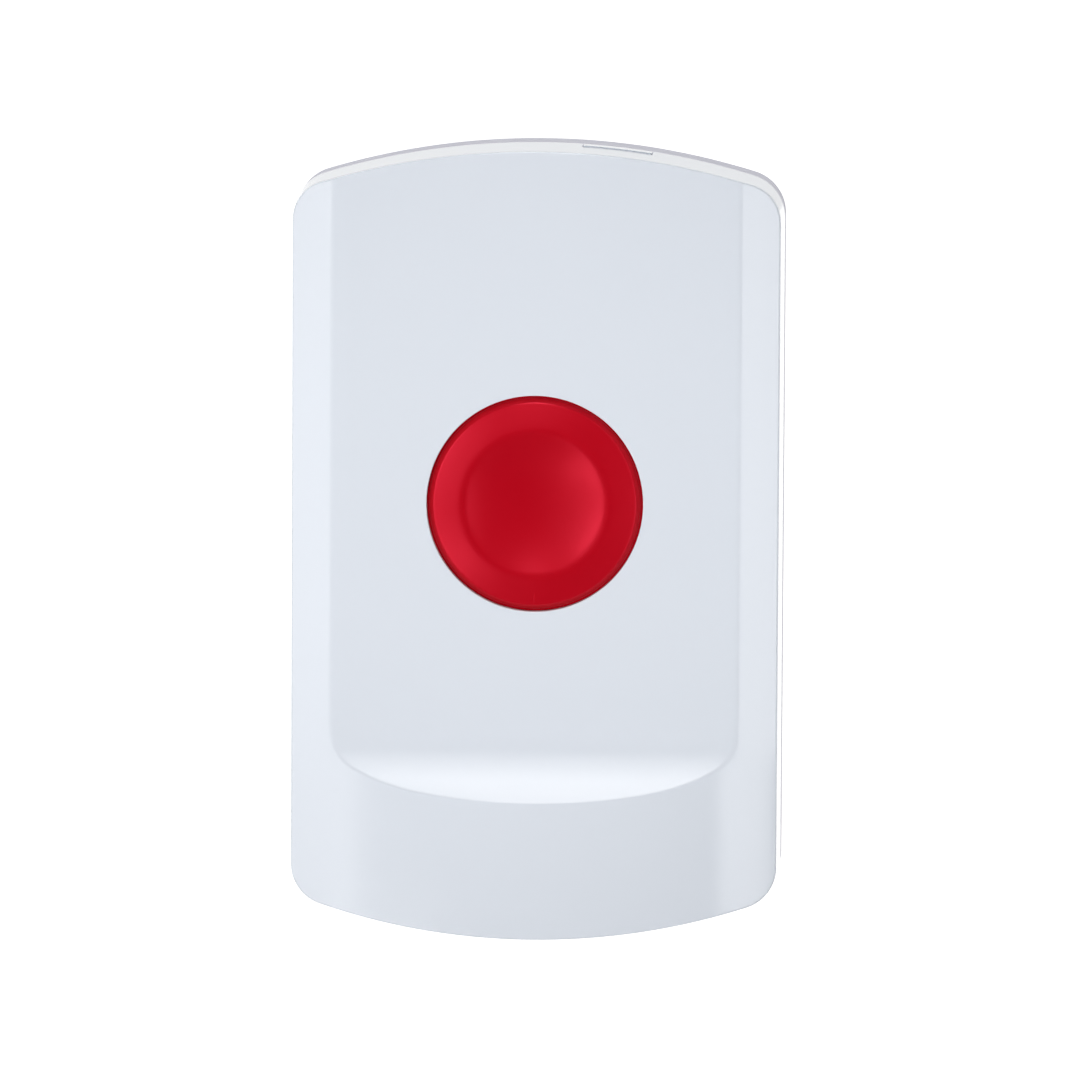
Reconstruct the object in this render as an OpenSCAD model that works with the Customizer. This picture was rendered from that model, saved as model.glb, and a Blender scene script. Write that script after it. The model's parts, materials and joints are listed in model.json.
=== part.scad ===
// Wall-mounted panic button: a two-part case with a red press button, its switch,
// circuit board, radio, coin cell and tamper switch.
// Sizes are in millimetres. Every piece is drawn with x to the right, y up the wall and
// z out from the wall, and is then stood upright so that the front faces -Y.

/* [Case] */
// Width of the case at the wall
case_w = 54.2; // [50:0.2:60]
// Height of the case at the wall, between the crowns of its arched ends
case_h = 87.2; // [82:0.2:96]
// Depth from the wall to the crown of the front
case_d = 19.8; // [18.5:0.1:24]
// Draft of the side walls, which draws the case in towards its front, in degrees
draft = 2; // [0:0.25:3]
// Depth of the rear base, from the wall to the parting plane
base_d = 6.5; // [5.5:0.25:8]
// Radius of the arched top and bottom
end_r = 81; // [65:1:120]
// Radius of the four corners of the outline
corner_r = 5; // [4:0.25:6.5]
// Radius of the convex front, about an upright axis
front_r = 88; // [75:1:140]
// Wall thickness of both shells
wall = 1.8; // [1.5:0.1:2.1]
// Step by which the rear base stays inside the cover's outline
base_inset = 0.2; // [0.1:0.05:0.4]

/* [Front panel] */
// Width of the flat panel where it cuts the convex front
panel_w = 44.2; // [40:0.2:47]
// Radius of the concave ramp at the foot of the panel
ramp_r = 11.5; // [9:0.5:16]
// Distance of the lip's crown below the middle of the case
lip_drop = 27.9; // [25:0.1:31]

/* [Button] */
// Diameter of the red cap
cap_d = 23.2; // [20:0.2:25]
// Height of the cap's axis above the middle of the case
cap_y = 4.6; // [0:0.1:7]
// Gap between the cap and its hole, at each side
cap_gap = 0.2; // [0.15:0.05:0.35]
// Height of the cap's crest above the panel
cap_proud = 0.4; // [0.2:0.05:0.8]
// Diameter of the dish in the cap
dish_d = 15.8; // [12:0.2:17]
// Depth of the dish below the cap's crest
dish_depth = 1.1; // [0.6:0.05:1.4]
// Fall of the cap's outer ring from its crest to its rim
ring_fall = 0.65; // [0.4:0.05:0.9]
// Thickness of the cap under the middle of the dish
web_t = 1.8; // [1.4:0.1:2.1]
// Thickness of the cap's skirt
skirt_t = 1.7; // [1.2:0.1:1.9]
// Width by which the cap's flange stands out past its skirt
flange_reach = 1.3; // [0.9:0.1:1.7]
// Thickness of the cap's flange
flange_t = 1; // [0.8:0.1:1.2]
// Distance the cap can be pressed
press_travel = 1.2; // [0.8:0.1:1.5]
// Depth of the collar that guides the cap behind the panel
collar_h = 1.2; // [0.8:0.1:1.5]
// Thickness of that collar
collar_t = 1.8; // [1.4:0.1:2.2]

/* [Return spring] */
// Mean radius of the return spring
spring_r = 5.4; // [5.2:0.1:5.6]
// Wire diameter of the return spring
spring_wire = 0.7; // [0.5:0.05:0.75]
// Turns of the return spring
spring_turns = 4.5; // [3.5:0.5:4.5]

/* [Switch] */
// Side of the square tactile switch
switch_w = 6; // [5:0.1:6.2]
// Height of the switch's body without its metal cover
switch_h = 1.9; // [1.6:0.1:2.4]
// Thickness of the switch's metal cover
switch_cover_t = 0.25; // [0.2:0.05:0.3]
// Diameter of the switch's plunger
plunger_d = 3.4; // [2.8:0.1:3.6]
// Height of the plunger above the switch's cover
plunger_proud = 0.45; // [0.4:0.05:0.7]
// Distance the plunger moves
plunger_travel = 0.25; // [0.2:0.05:0.35]

/* [Circuit board] */
// Thickness of the circuit board
board_t = 1.6; // [1:0.2:2]
// Distance from the base's lip to the board's sides
board_margin = 1.55; // [1.2:0.05:2.5]
// Distance from the crowns of the case to the board's ends
board_end_margin = 9; // [8.5:0.25:11]
// Corner radius of the board
board_corner_r = 2; // [1:0.5:3]
// Distance of the board screws from the board's edges
screw_inset = 3.5; // [3:0.25:4.5]
// Shank diameter of a board screw
screw_d = 1.6; // [1.4:0.1:2]
// Head diameter of a board screw
screw_head_d = 3.6; // [3:0.1:4.2]
// Head height of a board screw
screw_head_h = 1.3; // [1:0.1:1.6]
// Length of screw that holds in a boss
screw_grip = 4.2; // [3.5:0.1:4.6]
// Outer diameter of the bosses that carry the board
boss_d = 5; // [4.4:0.1:5.6]

/* [Radio and lamps] */
// Width of the radio module
radio_w = 16; // [12:0.5:20]
// Length of the radio module
radio_l = 12; // [10:0.5:13]
// Thickness of the radio module's board
radio_t = 0.8; // [0.6:0.1:1]
// Height of the radio module's shield
shield_h = 1.8; // [1.4:0.1:2.2]
// Width of bare module board around the shield
shield_inset = 1.6; // [1:0.1:2]
// Mean radius of the antenna coil
antenna_r = 2; // [1.6:0.1:2.3]
// Wire diameter of the antenna coil
antenna_wire = 0.6; // [0.4:0.05:0.7]
// Distance between turns of the antenna coil
antenna_pitch = 2; // [1.6:0.1:2.2]
// Whole turns of the antenna coil
antenna_turns = 7; // [4:1:8]
// Distance of the lamps from the button's axis
lamp_r = 8; // [7.8:0.1:8.2]
// Height of a lamp
lamp_h = 1.2; // [0.8:0.1:1.4]

/* [Battery] */
// Diameter of the coin cell
cell_d = 20; // [16:0.5:24]
// Thickness of the coin cell
cell_h = 3.2; // [2.5:0.1:3.4]
// Wall of the battery holder beside the cell
holder_wall = 1.5; // [1.2:0.1:2]
// Floor of the battery holder, against the board
holder_floor = 0.6; // [0.5:0.1:0.8]
// Gap between the battery holder and the rear base
holder_gap = 0.8; // [0.5:0.1:1.2]
// Thickness of the battery contacts
contact_t = 0.25; // [0.2:0.05:0.3]

/* [Fastening] */
// Distance between the two wall screw holes
wall_hole_pitch = 60; // [52:0.5:62]
// Diameter of the wall screw holes
wall_hole_d = 4.3; // [3.5:0.1:5]
// Diameter of the seat around each wall screw hole
wall_seat_d = 9; // [8:0.5:10]
// Height of that seat above the base's plate
wall_seat_h = 1.2; // [0.8:0.1:1.6]
// Thickness of the base's locating lip
lip_t = 1; // [0.8:0.1:1.2]
// Height of the locating lip above the parting plane
lip_h = 1.8; // [1.2:0.1:2.2]
// Gap between the lip and the cover
fit_gap = 0.15; // [0.12:0.01:0.25]
// Width of the latch tongue
latch_w = 7.2; // [6:0.1:9]
// Distance of the latch tongue from the case's centre line
latch_x = 8.6; // [6:0.1:10]
// Length of the tongue in the cover's top wall
latch_l = 3.2; // [2.6:0.1:4]
// Gap around the tongue
latch_gap = 0.25; // [0.22:0.01:0.35]
// Thickness of the latch's arm
latch_arm_t = 1.2; // [1:0.1:1.5]
// Distance of the two hinge tabs from the centre line
tab_x = 12; // [10:0.5:15]
// Width of a hinge tab
tab_w = 8; // [6:0.5:9]
// Thickness of a hinge tab
tab_t = 1.2; // [1:0.1:1.4]
// Depth of a hinge tab behind the base's wall
tab_h = 2.5; // [2.2:0.1:2.8]

/* [Tamper switch] */
// Side of the tamper switch
tamper_w = 6; // [5:0.1:7]
// Height of the tamper switch
tamper_h = 3; // [2.6:0.1:3.4]
// Diameter of the plunger's foot
tamper_foot_d = 4; // [3.4:0.1:4.6]
// Diameter of the plunger's rod
tamper_rod_d = 2; // [1.6:0.1:2.4]
// Distance the plunger comes out when the case leaves the wall
tamper_travel = 1.5; // [1:0.1:1.7]
// Distance of the tamper switch from the case's centre line
tamper_x = 14; // [13:0.25:15]
// Height of the tamper switch above the middle of the case
tamper_y = 19; // [17.5:0.25:21]

/* [Hidden] */
$fn = 96;

// Reach of cutting shapes past the faces that they cut
past = 1;
// Play of pieces that slide or sit in each other
play = 0.1;
// Points in each turn of wound wire
turn_points = 8;

// Front: the flat panel lies this far behind the crown of the convex front
panel_drop = front_r - sqrt(front_r * front_r - panel_w * panel_w / 4);
panel_z = case_d - panel_drop;
ramp_l = sqrt(ramp_r * ramp_r - (ramp_r - panel_drop) * (ramp_r - panel_drop));
ramp_y = ramp_l - lip_drop;

// Outline: steps of its arcs
end_steps = 24;
corner_steps = 8;

// Board, stacked up from the wall
plate_t = wall;
clip_room = contact_t + play;
holder_h = holder_floor + contact_t + cell_h + clip_room;
board_back_z = plate_t + holder_gap + holder_h;
board_front_z = board_back_z + board_t;
lip_inset = wall + fit_gap;
board_w = case_w - 2 * (lip_inset + lip_t + board_margin);
board_h = case_h - 2 * board_end_margin;
screw_x = board_w / 2 - screw_inset;
screw_y = board_h / 2 - screw_inset;
screw_spots = [for (sx = [-1, 1]) for (sy = [-1, 1]) [sx * screw_x, sy * screw_y]];
screw_hole_d = screw_d + 0.8;
pilot_d = screw_d + play;
pilot_tip = 0.6;

// Button, hung from the panel
cap_r = cap_d / 2;
hole_r = cap_r + cap_gap;
dish_r = dish_d / 2;
crest_z = panel_z + cap_proud;
dish_ball_r = (dish_r * dish_r + dish_depth * dish_depth) / (2 * dish_depth);
ring_ball_r = (cap_r * cap_r - dish_r * dish_r) / (2 * ring_fall);
ring_ball_z = crest_z - sqrt(ring_ball_r * ring_ball_r - dish_r * dish_r);
web_z = crest_z - dish_depth - web_t;
collar_z = panel_z - wall - collar_h;
flange_z = collar_z - cap_gap - flange_t;
flange_r = cap_r + flange_reach;

// Switch, stood on the board under the button
switch_top_z = board_front_z + switch_h + switch_cover_t;
plunger_z = switch_top_z + plunger_proud;
plunger_foot = 0.7;
free_travel = press_travel - plunger_travel;
stem_z = plunger_z + free_travel + play / 2;
stem_d = plunger_d + 0.6;
spring_gap = 0.1;
spring_low = board_front_z + spring_gap + spring_wire / 2;
spring_high = web_z - spring_gap - spring_wire / 2;
spigot_gap = 0.2;
spigot_r = spring_r * cos(180 / turn_points) - spring_wire / 2 - spigot_gap;
spigot_t = 0.7;
spigot_h = 0.6;
lamp_w = 2.8;
lamp_l = 3.5;
lamp_base = 0.4;

// Smaller parts on the board
part_gap = 1;
radio_y = cap_y + flange_r + part_gap + radio_l / 2;
radio_z = board_front_z + radio_t;
antenna_y = -board_h / 2 + 5;
antenna_l = antenna_pitch * (antenna_turns + 0.5);
antenna_z = board_front_z + antenna_r + antenna_wire / 2 + 0.3;
chip_w = 7;
chip_h = 1;
chip_x = -9;
chip_y = cap_y - flange_r - part_gap - 8;
leg_l = 0.8;
crystal_w = 5;
crystal_l = 3.2;
crystal_h = 1.1;
crystal_x = 1;
small_w = 1.6;
small_l = 0.8;
small_h = 0.6;
small_columns = 4;
small_pitch = 2.6;
small_x = 7;

// Battery, hung behind the board
cell_play = 0.3;
pocket_r = cell_d / 2 + cell_play;
holder_r = pocket_r + holder_wall;
cell_z = board_back_z - holder_floor - contact_t - cell_h;
cell_step_h = 0.3;
cell_step_r = cell_d / 2 - 1.3;
clip_w = 6;
clip_reach = 4;
clip_foot_l = 2;
clip_slot = 0.3;

// Latch and hinge tabs
latch_in = wall + 0.6;
latch_z = base_d + latch_gap;
latch_top = base_d + latch_l;
latch_root_z = plate_t + 0.15;
zone_gap = 0.5;
lip_root_h = 2;
lip_bury = 0.3;
tab_root_z = base_d + 0.3;
tab_root_h = 2.5;
bead_d = 0.15;
bead_h = 0.7;
bead_z = base_d - tab_h + 0.2;
groove_low = 0.2;
groove_high = 0.5;

// Tamper switch
tamper_tip = 0.1;
tamper_face_z = board_back_z - tamper_h;
tamper_foot_h = plate_t + 0.6;
tamper_hold = 0.8;
tamper_rod_z = tamper_face_z + tamper_travel + tamper_hold;
tamper_gap = 0.6;

// Colours
white = [0.93, 0.94, 0.96];
shade_white = [0.85, 0.85, 0.88];
red = [0.72, 0.02, 0.08];
board_green = [0.06, 0.34, 0.2];
metal = [0.76, 0.77, 0.79];
gold = [0.8, 0.66, 0.36];
dark = [0.12, 0.12, 0.13];

// Stand a piece drawn on the wall upright, with its front towards -Y
module stand() {
    rotate([90, 0, 0])
        children();
}

// Outline of the case

// Points of an arc about [x, y] from angle a to just before angle b
function arc(x, y, r, a, b, steps) = [
    for (i = [0 : steps - 1])
        let (t = a + (b - a) * i / steps)
        [x + r * cos(t), y + r * sin(t)]
];

// Outline drawn in by inset: straight sides, arched ends, round corners that are tangent to both
function outline_points(inset) =
    let (
        r = end_r - inset,
        c = max(corner_r - inset, 0.4),
        half_w = case_w / 2 - inset,
        end_y = case_h / 2 - end_r,
        corner_x = half_w - c,
        corner_y = end_y + sqrt((r - c) * (r - c) - corner_x * corner_x),
        lean = atan2(corner_y - end_y, corner_x)
    )
    concat(
        arc(corner_x, corner_y, c, 0, lean, corner_steps),
        arc(0, end_y, r, lean, 180 - lean, end_steps),
        arc(-corner_x, corner_y, c, 180 - lean, 180, corner_steps),
        [[-half_w, corner_y]],
        arc(-corner_x, -corner_y, c, 180, 180 + lean, corner_steps),
        arc(0, -end_y, r, 180 + lean, 360 - lean, end_steps),
        arc(corner_x, -corner_y, c, 360 - lean, 360, corner_steps),
        [[half_w, -corner_y]]
    );

// Distance by which the draft has drawn the outline in at height z
function drawn_in(z) = z * tan(draft);

// Outline drawn in by inset and by the draft, as points at height z
function level_points(inset, z) = [
    for (p = outline_points(inset + drawn_in(z)))
        [p[0], p[1], z]
];

// Solid of the outline between two heights, with drafted sides
module slab(inset, low, high) {
    low_points = level_points(inset, low);
    high_points = level_points(inset, high);
    count = len(low_points);
    sides = [
        for (i = [0 : count - 1])
            let (j = (i + 1) % count)
            [i, i + count, j + count, j]
    ];
    floor_face = [for (i = [0 : count - 1]) i];
    roof_face = [for (i = [count - 1 : -1 : 0]) i + count];
    polyhedron(concat(low_points, high_points), concat(sides, [floor_face, roof_face]));
}

// Box that picks a stretch of one end of the case: side is 1 at the top, -1 at the bottom
module stretch(side, middle, width, low, high) {
    reach = case_h / 2;
    translate([middle - width / 2, side > 0 ? 0 : -reach - past, low])
        cube([width, reach + past, high - low]);
}

// Upright cylinder at a spot on the wall
module post(spot, d, low, high) {
    translate([spot[0], spot[1], low])
        cylinder(d = d, h = high - low);
}

// Box centred on a spot on the wall
module block(spot, size, low, high) {
    translate([spot[0] - size[0] / 2, spot[1] - size[1] / 2, low])
        cube([size[0], size[1], high - low]);
}

// Front form of the cover, drawn in by inset: convex front, flat panel, concave ramp and lip
module front_form(inset, low) {
    difference() {
        intersection() {
            slab(inset, low, case_d + past);
            translate([0, 0, case_d - front_r])
                rotate([90, 0, 0])
                    cylinder(r = front_r - inset, h = 2 * case_h, center = true);
        }
        rotate([90, 0, 90])
            linear_extrude(2 * case_w, center = true)
                union() {
                    translate([ramp_y, panel_z - inset])
                        square([case_h, 2 * ramp_r]);
                    translate([ramp_y, panel_z + ramp_r])
                        circle(r = ramp_r + inset);
                }
    }
}

// Wound wire

// Point of a helix about z at angle a
function helix_point(r, a, low, rise) = [r * cos(a), r * sin(a), low + rise * a / 360];

// Path of a plain helix
function helix_path(r, turns, low, high) = [
    for (i = [0 : round(turn_points * turns)])
        helix_point(r, 360 * i / turn_points, low, (high - low) / turns)
];

// Outward directions that belong to those points
function helix_normals(turns) = [
    for (i = [0 : round(turn_points * turns)])
        let (a = 360 * i / turn_points)
        [cos(a), sin(a), 0]
];

function unit(v) = v / norm(v);

// Six points around a path point
function ring(p, n, t, r) =
    let (b = unit(cross(t, n)))
    [for (k = [0 : 5]) p + r * (cos(60 * k) * n + sin(60 * k) * b)];

// Direction of a path at point i
function heading(path, i) =
    unit(path[min(i + 1, len(path) - 1)] - path[max(i - 1, 0)]);

// Normal made square to the path's direction
function square_normal(n, t) = unit(n - (n * t) * t);

// One unbroken six-sided tube along a path
module wire(path, normals, d) {
    last = len(path) - 1;
    points = [
        for (i = [0 : last])
            let (t = heading(path, i))
            each ring(path[i], square_normal(normals[i], t), t, d / 2)
    ];
    sides = [
        for (i = [0 : last - 1])
            for (k = [0 : 5])
                let (
                    a = 6 * i + k,
                    b = 6 * i + (k + 1) % 6
                )
                each [[a, a + 6, b], [b, a + 6, b + 6]]
    ];
    start_cap = [for (k = [1 : 4]) [0, k, k + 1]];
    end_cap = [for (k = [1 : 4]) [6 * last, 6 * last + k + 1, 6 * last + k]];
    polyhedron(points, concat(sides, start_cap, end_cap), convexity = 10);
}

// Least clear gap between points of a wire that lie half a turn or more apart along it
function wire_gap(path, d) = min([
    for (i = [0 : len(path) - turn_points / 2 - 2])
        for (j = [i + turn_points / 2 + 1 : len(path) - 1])
            norm(path[i] - path[j])
]) - d;

spring_path = helix_path(spring_r, spring_turns, spring_low, spring_high);
echo(spring_least_gap = wire_gap(spring_path, spring_wire));

// Antenna about z: a straight lead up each side, tangent to the coil
antenna_coil_turns = antenna_turns + 0.5;
antenna_lead = antenna_z - board_front_z;
antenna_coil_path = helix_path(antenna_r, antenna_coil_turns, 0, antenna_l);
antenna_path = concat(
    [antenna_coil_path[0] - [0, antenna_lead, 0]],
    antenna_coil_path,
    [antenna_coil_path[len(antenna_coil_path) - 1] - [0, antenna_lead, 0]]
);
antenna_normals = concat(
    [[1, 0, 0]],
    helix_normals(antenna_coil_turns),
    [[-1, 0, 0]]
);
echo(antenna_least_gap = wire_gap(antenna_coil_path, antenna_wire));

// Case

// Stretches of the lower end where the two hinge tabs are, widened by gap
module tab_zones(gap) {
    for (side = [-1, 1])
        stretch(-1, side * tab_x, tab_w + 2 * gap, -past, case_d);
}

// Locating lip of the base, with its thicker root, open at the latch and the hinge tabs
module locating_lip() {
    low = base_d - lip_root_h;
    high = base_d + lip_h;
    difference() {
        union() {
            slab(wall - lip_bury, low, base_d);
            slab(lip_inset, base_d - past, high);
        }
        slab(lip_inset + lip_t, low - past, high + past);
        stretch(1, latch_x, latch_w + 2 * zone_gap, -past, case_d);
        tab_zones(zone_gap);
    }
}

// Rear half of the case: plate, wall, locating lip, wall screw seats and grooves for the tabs' beads
module rear_base() {
    color(shade_white) stand() difference() {
        union() {
            difference() {
                slab(base_inset, 0, base_d);
                slab(wall, plate_t, base_d + past);
            }
            locating_lip();
            for (side = [-1, 1])
                post([0, side * wall_hole_pitch / 2], wall_seat_d, plate_t / 2, plate_t + wall_seat_h);
        }
        for (side = [-1, 1])
            post([0, side * wall_hole_pitch / 2], wall_hole_d, -past, plate_t + wall_seat_h + past);
        intersection() {
            slab(wall - bead_d - groove_low, bead_z - groove_low, bead_z + bead_h + groove_high);
            tab_zones(zone_gap);
        }
        post([-tamper_x, tamper_y], tamper_foot_d + 2 * tamper_gap, -past, plate_t + past);
    }
}

// Tongue that stands on the base, rises behind its top wall and fills the notch in the cover
module release_latch() {
    color(white) stand() intersection() {
        difference() {
            union() {
                slab(latch_in, latch_root_z, latch_top);
                slab(0, latch_z, latch_top);
            }
            slab(latch_in + latch_arm_t, 0, case_d);
        }
        stretch(1, latch_x, latch_w, -past, case_d);
    }
}

// Two tabs with a bead, rooted in the cover's lower wall and hooked behind the base's wall
module hinge_tabs() {
    high = tab_root_z + tab_root_h;
    intersection() {
        difference() {
            union() {
                slab(lip_inset, base_d - tab_h, high);
                slab(wall / 2, tab_root_z, high);
                slab(wall - bead_d, bead_z, bead_z + bead_h);
            }
            slab(lip_inset + tab_t, 0, case_d);
        }
        tab_zones(0);
    }
}

// Gloss shell with the button's hole and collar, the board's bosses and two hinge tabs
module front_cover() {
    color(white) stand() difference() {
        union() {
            difference() {
                front_form(0, base_d);
                front_form(wall, base_d - past);
            }
            post([0, cap_y], 2 * (hole_r + collar_t), collar_z, panel_z - wall / 2);
            intersection() {
                for (spot = screw_spots)
                    post(spot, boss_d, board_front_z, case_d);
                front_form(wall / 2, base_d);
            }
            hinge_tabs();
        }
        post([0, cap_y], 2 * hole_r, collar_z - past, case_d + past);
        for (spot = screw_spots)
            post(spot, pilot_d, board_front_z - past, board_front_z + screw_grip + pilot_tip);
        stretch(1, latch_x, latch_w + 2 * latch_gap, base_d - past, latch_top + latch_gap);
    }
}

// Red cap: dished top, falling outer ring, skirt, flange, stem and spring spigot
module button_cap() {
    color(red) stand() translate([0, cap_y, 0]) difference() {
        union() {
            difference() {
                union() {
                    intersection() {
                        post([0, 0], cap_d, flange_z, crest_z + past);
                        translate([0, 0, ring_ball_z])
                            sphere(r = ring_ball_r);
                    }
                    post([0, 0], 2 * flange_r, flange_z, flange_z + flange_t);
                }
                post([0, 0], cap_d - 2 * skirt_t, flange_z - past, web_z);
            }
            post([0, 0], stem_d, stem_z, web_z + web_t / 2);
            difference() {
                post([0, 0], 2 * spigot_r, web_z - spigot_h, web_z + web_t / 4);
                post([0, 0], 2 * (spigot_r - spigot_t), web_z - spigot_h - past, web_z);
            }
        }
        translate([0, 0, crest_z - dish_depth + dish_ball_r])
            sphere(r = dish_ball_r);
    }
}

// Wound return spring between the board and the cap
module button_spring() {
    color(metal) stand() translate([0, cap_y, 0])
        wire(spring_path, helix_normals(spring_turns), spring_wire);
}

// Circuit board and its switch

// Board with rounded corners and four screw holes
module circuit_board() {
    color(board_green) stand() difference() {
        union() {
            block([0, 0], [board_w - 2 * board_corner_r, board_h], board_back_z, board_front_z);
            block([0, 0], [board_w, board_h - 2 * board_corner_r], board_back_z, board_front_z);
            for (sx = [-1, 1])
                for (sy = [-1, 1])
                    post([sx * (board_w / 2 - board_corner_r), sy * (board_h / 2 - board_corner_r)],
                        2 * board_corner_r, board_back_z, board_front_z);
        }
        for (spot = screw_spots)
            post(spot, screw_hole_d, board_back_z - past, board_front_z + past);
    }
}

// Four pan head screws from behind the board into the cover's bosses
module board_screws() {
    slot_w = 0.5;
    slot_depth = 0.6;
    head_z = board_back_z - screw_head_h;
    color(metal) stand()
        for (spot = screw_spots)
            difference() {
                union() {
                    post(spot, screw_head_d, head_z, board_back_z);
                    post(spot, screw_d, head_z + screw_head_h / 2, board_front_z + screw_grip);
                }
                block(spot, [screw_head_d - 1, slot_w], head_z - past, head_z + slot_depth);
                block(spot, [slot_w, screw_head_d - 1], head_z - past, head_z + slot_depth);
            }
}

// Tactile switch body with a well for the plunger
module switch_body() {
    color(dark) stand() difference() {
        block([0, cap_y], [switch_w, switch_w], board_front_z, board_front_z + switch_h);
        post([0, cap_y], plunger_d + 2 * play, plunger_z - plunger_proud - switch_cover_t
            - plunger_foot - plunger_travel - play, board_front_z + switch_h + past);
    }
}

// Metal plate over the switch, with two folded clips down its sides
module switch_cover() {
    clip_l = 2.4;
    clip_h = 1.2;
    low = board_front_z + switch_h;
    color(metal) stand() difference() {
        union() {
            block([0, cap_y], [switch_w, switch_w], low, switch_top_z);
            for (side = [-1, 1])
                block([0, cap_y + side * (switch_w + switch_cover_t) / 2], [clip_l, switch_cover_t],
                    low - clip_h, switch_top_z);
        }
        post([0, cap_y], plunger_d + 2 * play, low - past, switch_top_z + past);
    }
}

// Round plunger of the switch
module switch_plunger() {
    color(dark) stand()
        post([0, cap_y], plunger_d, board_front_z + switch_h - plunger_foot, plunger_z);
}

// Four soldered feet of the switch
module switch_terminals() {
    foot_l = 1.1;
    foot_w = 0.8;
    foot_t = 0.2;
    rise = 0.7;
    spread = switch_w / 2 - 0.8;
    color(metal) stand()
        for (sx = [-1, 1])
            for (sy = [-1, 1]) {
                block([sx * (switch_w + foot_l) / 2, cap_y + sy * spread], [foot_l, foot_w],
                    board_front_z, board_front_z + foot_t);
                block([sx * (switch_w + foot_t) / 2, cap_y + sy * spread], [foot_t, foot_w],
                    board_front_z, board_front_z + rise);
            }
}

// Two lamps beside the switch, with a domed lens on a square base
module indicator_leds() {
    color([0.95, 0.93, 0.86]) stand()
        for (side = [-1, 1]) {
            block([side * lamp_r, cap_y], [lamp_w, lamp_l], board_front_z, board_front_z + lamp_base);
            post([side * lamp_r, cap_y], lamp_w - 0.4, board_front_z, board_front_z + lamp_h);
        }
}

// Radio and small parts

// Carrier board of the radio module
module radio_module_board() {
    color([0.05, 0.2, 0.32]) stand()
        block([0, radio_y], [radio_w, radio_l], board_front_z, radio_z);
}

// Shield can of the radio module, open towards its board
module radio_shield() {
    can_t = 0.3;
    can_w = radio_w - 2 * shield_inset;
    can_l = radio_l - 2 * shield_inset;
    color(metal) stand() difference() {
        block([0, radio_y], [can_w, can_l], radio_z, radio_z + shield_h);
        block([0, radio_y], [can_w - 2 * can_t, can_l - 2 * can_t], radio_z - past,
            radio_z + shield_h - can_t);
    }
}

// Wound antenna that lies along the board's lower end
module antenna_coil() {
    color(gold) stand()
        translate([-antenna_l / 2, antenna_y, antenna_z])
            rotate([90, 0, 90])
                wire(antenna_path, antenna_normals, antenna_wire);
}

// Controller with a row of legs along two sides
module controller_chip() {
    legs = 6;
    leg_w = 0.4;
    leg_t = 0.2;
    leg_pitch = 1;
    color(dark) stand() {
        block([chip_x, chip_y], [chip_w, chip_w], board_front_z + leg_t / 2, board_front_z + chip_h);
        for (i = [0 : legs - 1])
            block([chip_x, chip_y + (i - (legs - 1) / 2) * leg_pitch], [chip_w + 2 * leg_l, leg_w],
                board_front_z, board_front_z + leg_t);
    }
}

// Metal can of the clock crystal
module clock_crystal() {
    color(metal) stand()
        block([crystal_x, chip_y], [crystal_w, crystal_l], board_front_z, board_front_z + crystal_h);
}

// Resistors and capacitors in two rows
module chip_components() {
    color([0.55, 0.46, 0.36]) stand()
        for (row = [-1, 1])
            for (i = [0 : small_columns - 1])
                block([small_x + i * small_pitch, chip_y + row * small_pitch / 2], [small_w, small_l],
                    board_front_z, board_front_z + small_h);
}

// Battery

// Moulded holder behind the board, open to the rear, with a slot for the clip and a finger notch
module battery_holder() {
    low = board_back_z - holder_h;
    notch_w = 8;
    color(dark) stand() difference() {
        block([0, 0], [2 * holder_r, 2 * holder_r], low, board_back_z);
        post([0, 0], 2 * pocket_r, low - past, board_back_z - holder_floor);
        block([0, holder_r], [clip_w + 2 * clip_slot, 2 * (holder_r - cell_d / 4)], low - past,
            low + clip_room + clip_slot);
        block([0, -holder_r], [notch_w, 2 * holder_wall + 2 * cell_play], low - past, board_back_z - holder_floor);
    }
}

// Positive clip: an arm over the cell's rear face, a riser beside the holder and a soldered foot
module battery_positive_clip() {
    arm_low = cell_z - contact_t;
    riser_y = holder_r + play;
    arm_y = cell_d / 2 - clip_reach;
    color(gold) stand() {
        block([0, (arm_y + riser_y + contact_t) / 2], [clip_w, riser_y + contact_t - arm_y],
            arm_low, cell_z);
        block([0, riser_y + contact_t / 2], [clip_w, contact_t], arm_low, board_back_z);
        block([0, riser_y + clip_foot_l / 2], [clip_w, clip_foot_l], board_back_z - contact_t, board_back_z);
    }
}

// Negative contact: a cross-shaped leaf on the holder's floor
module battery_negative_contact() {
    leaf_l = 10;
    leaf_w = 3;
    high = board_back_z - holder_floor;
    color(gold) stand() {
        block([0, 0], [leaf_l, leaf_w], high - contact_t, high);
        block([0, 0], [leaf_w, leaf_l], high - contact_t, high);
    }
}

// Coin cell: its can faces the wall, its stepped cap the board
module coin_cell() {
    color(metal) stand() {
        post([0, 0], cell_d, cell_z, cell_z + cell_h - cell_step_h);
        post([0, 0], 2 * cell_step_r, cell_z + cell_h / 2, cell_z + cell_h);
    }
}

// Tamper switch

// Body behind the board, with a bore for the plunger
module tamper_switch_body() {
    color(dark) stand() difference() {
        block([-tamper_x, tamper_y], [tamper_w, tamper_w], tamper_face_z, board_back_z);
        post([-tamper_x, tamper_y], tamper_rod_d + 2 * play, tamper_face_z - past, tamper_rod_z + play);
    }
}

// Stepped plunger that reaches through the base to the wall
module tamper_plunger() {
    color(white) stand() {
        post([-tamper_x, tamper_y], tamper_foot_d, tamper_tip, tamper_tip + tamper_foot_h);
        post([-tamper_x, tamper_y], tamper_rod_d, tamper_tip + tamper_foot_h / 2, tamper_rod_z);
    }
}

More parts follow.
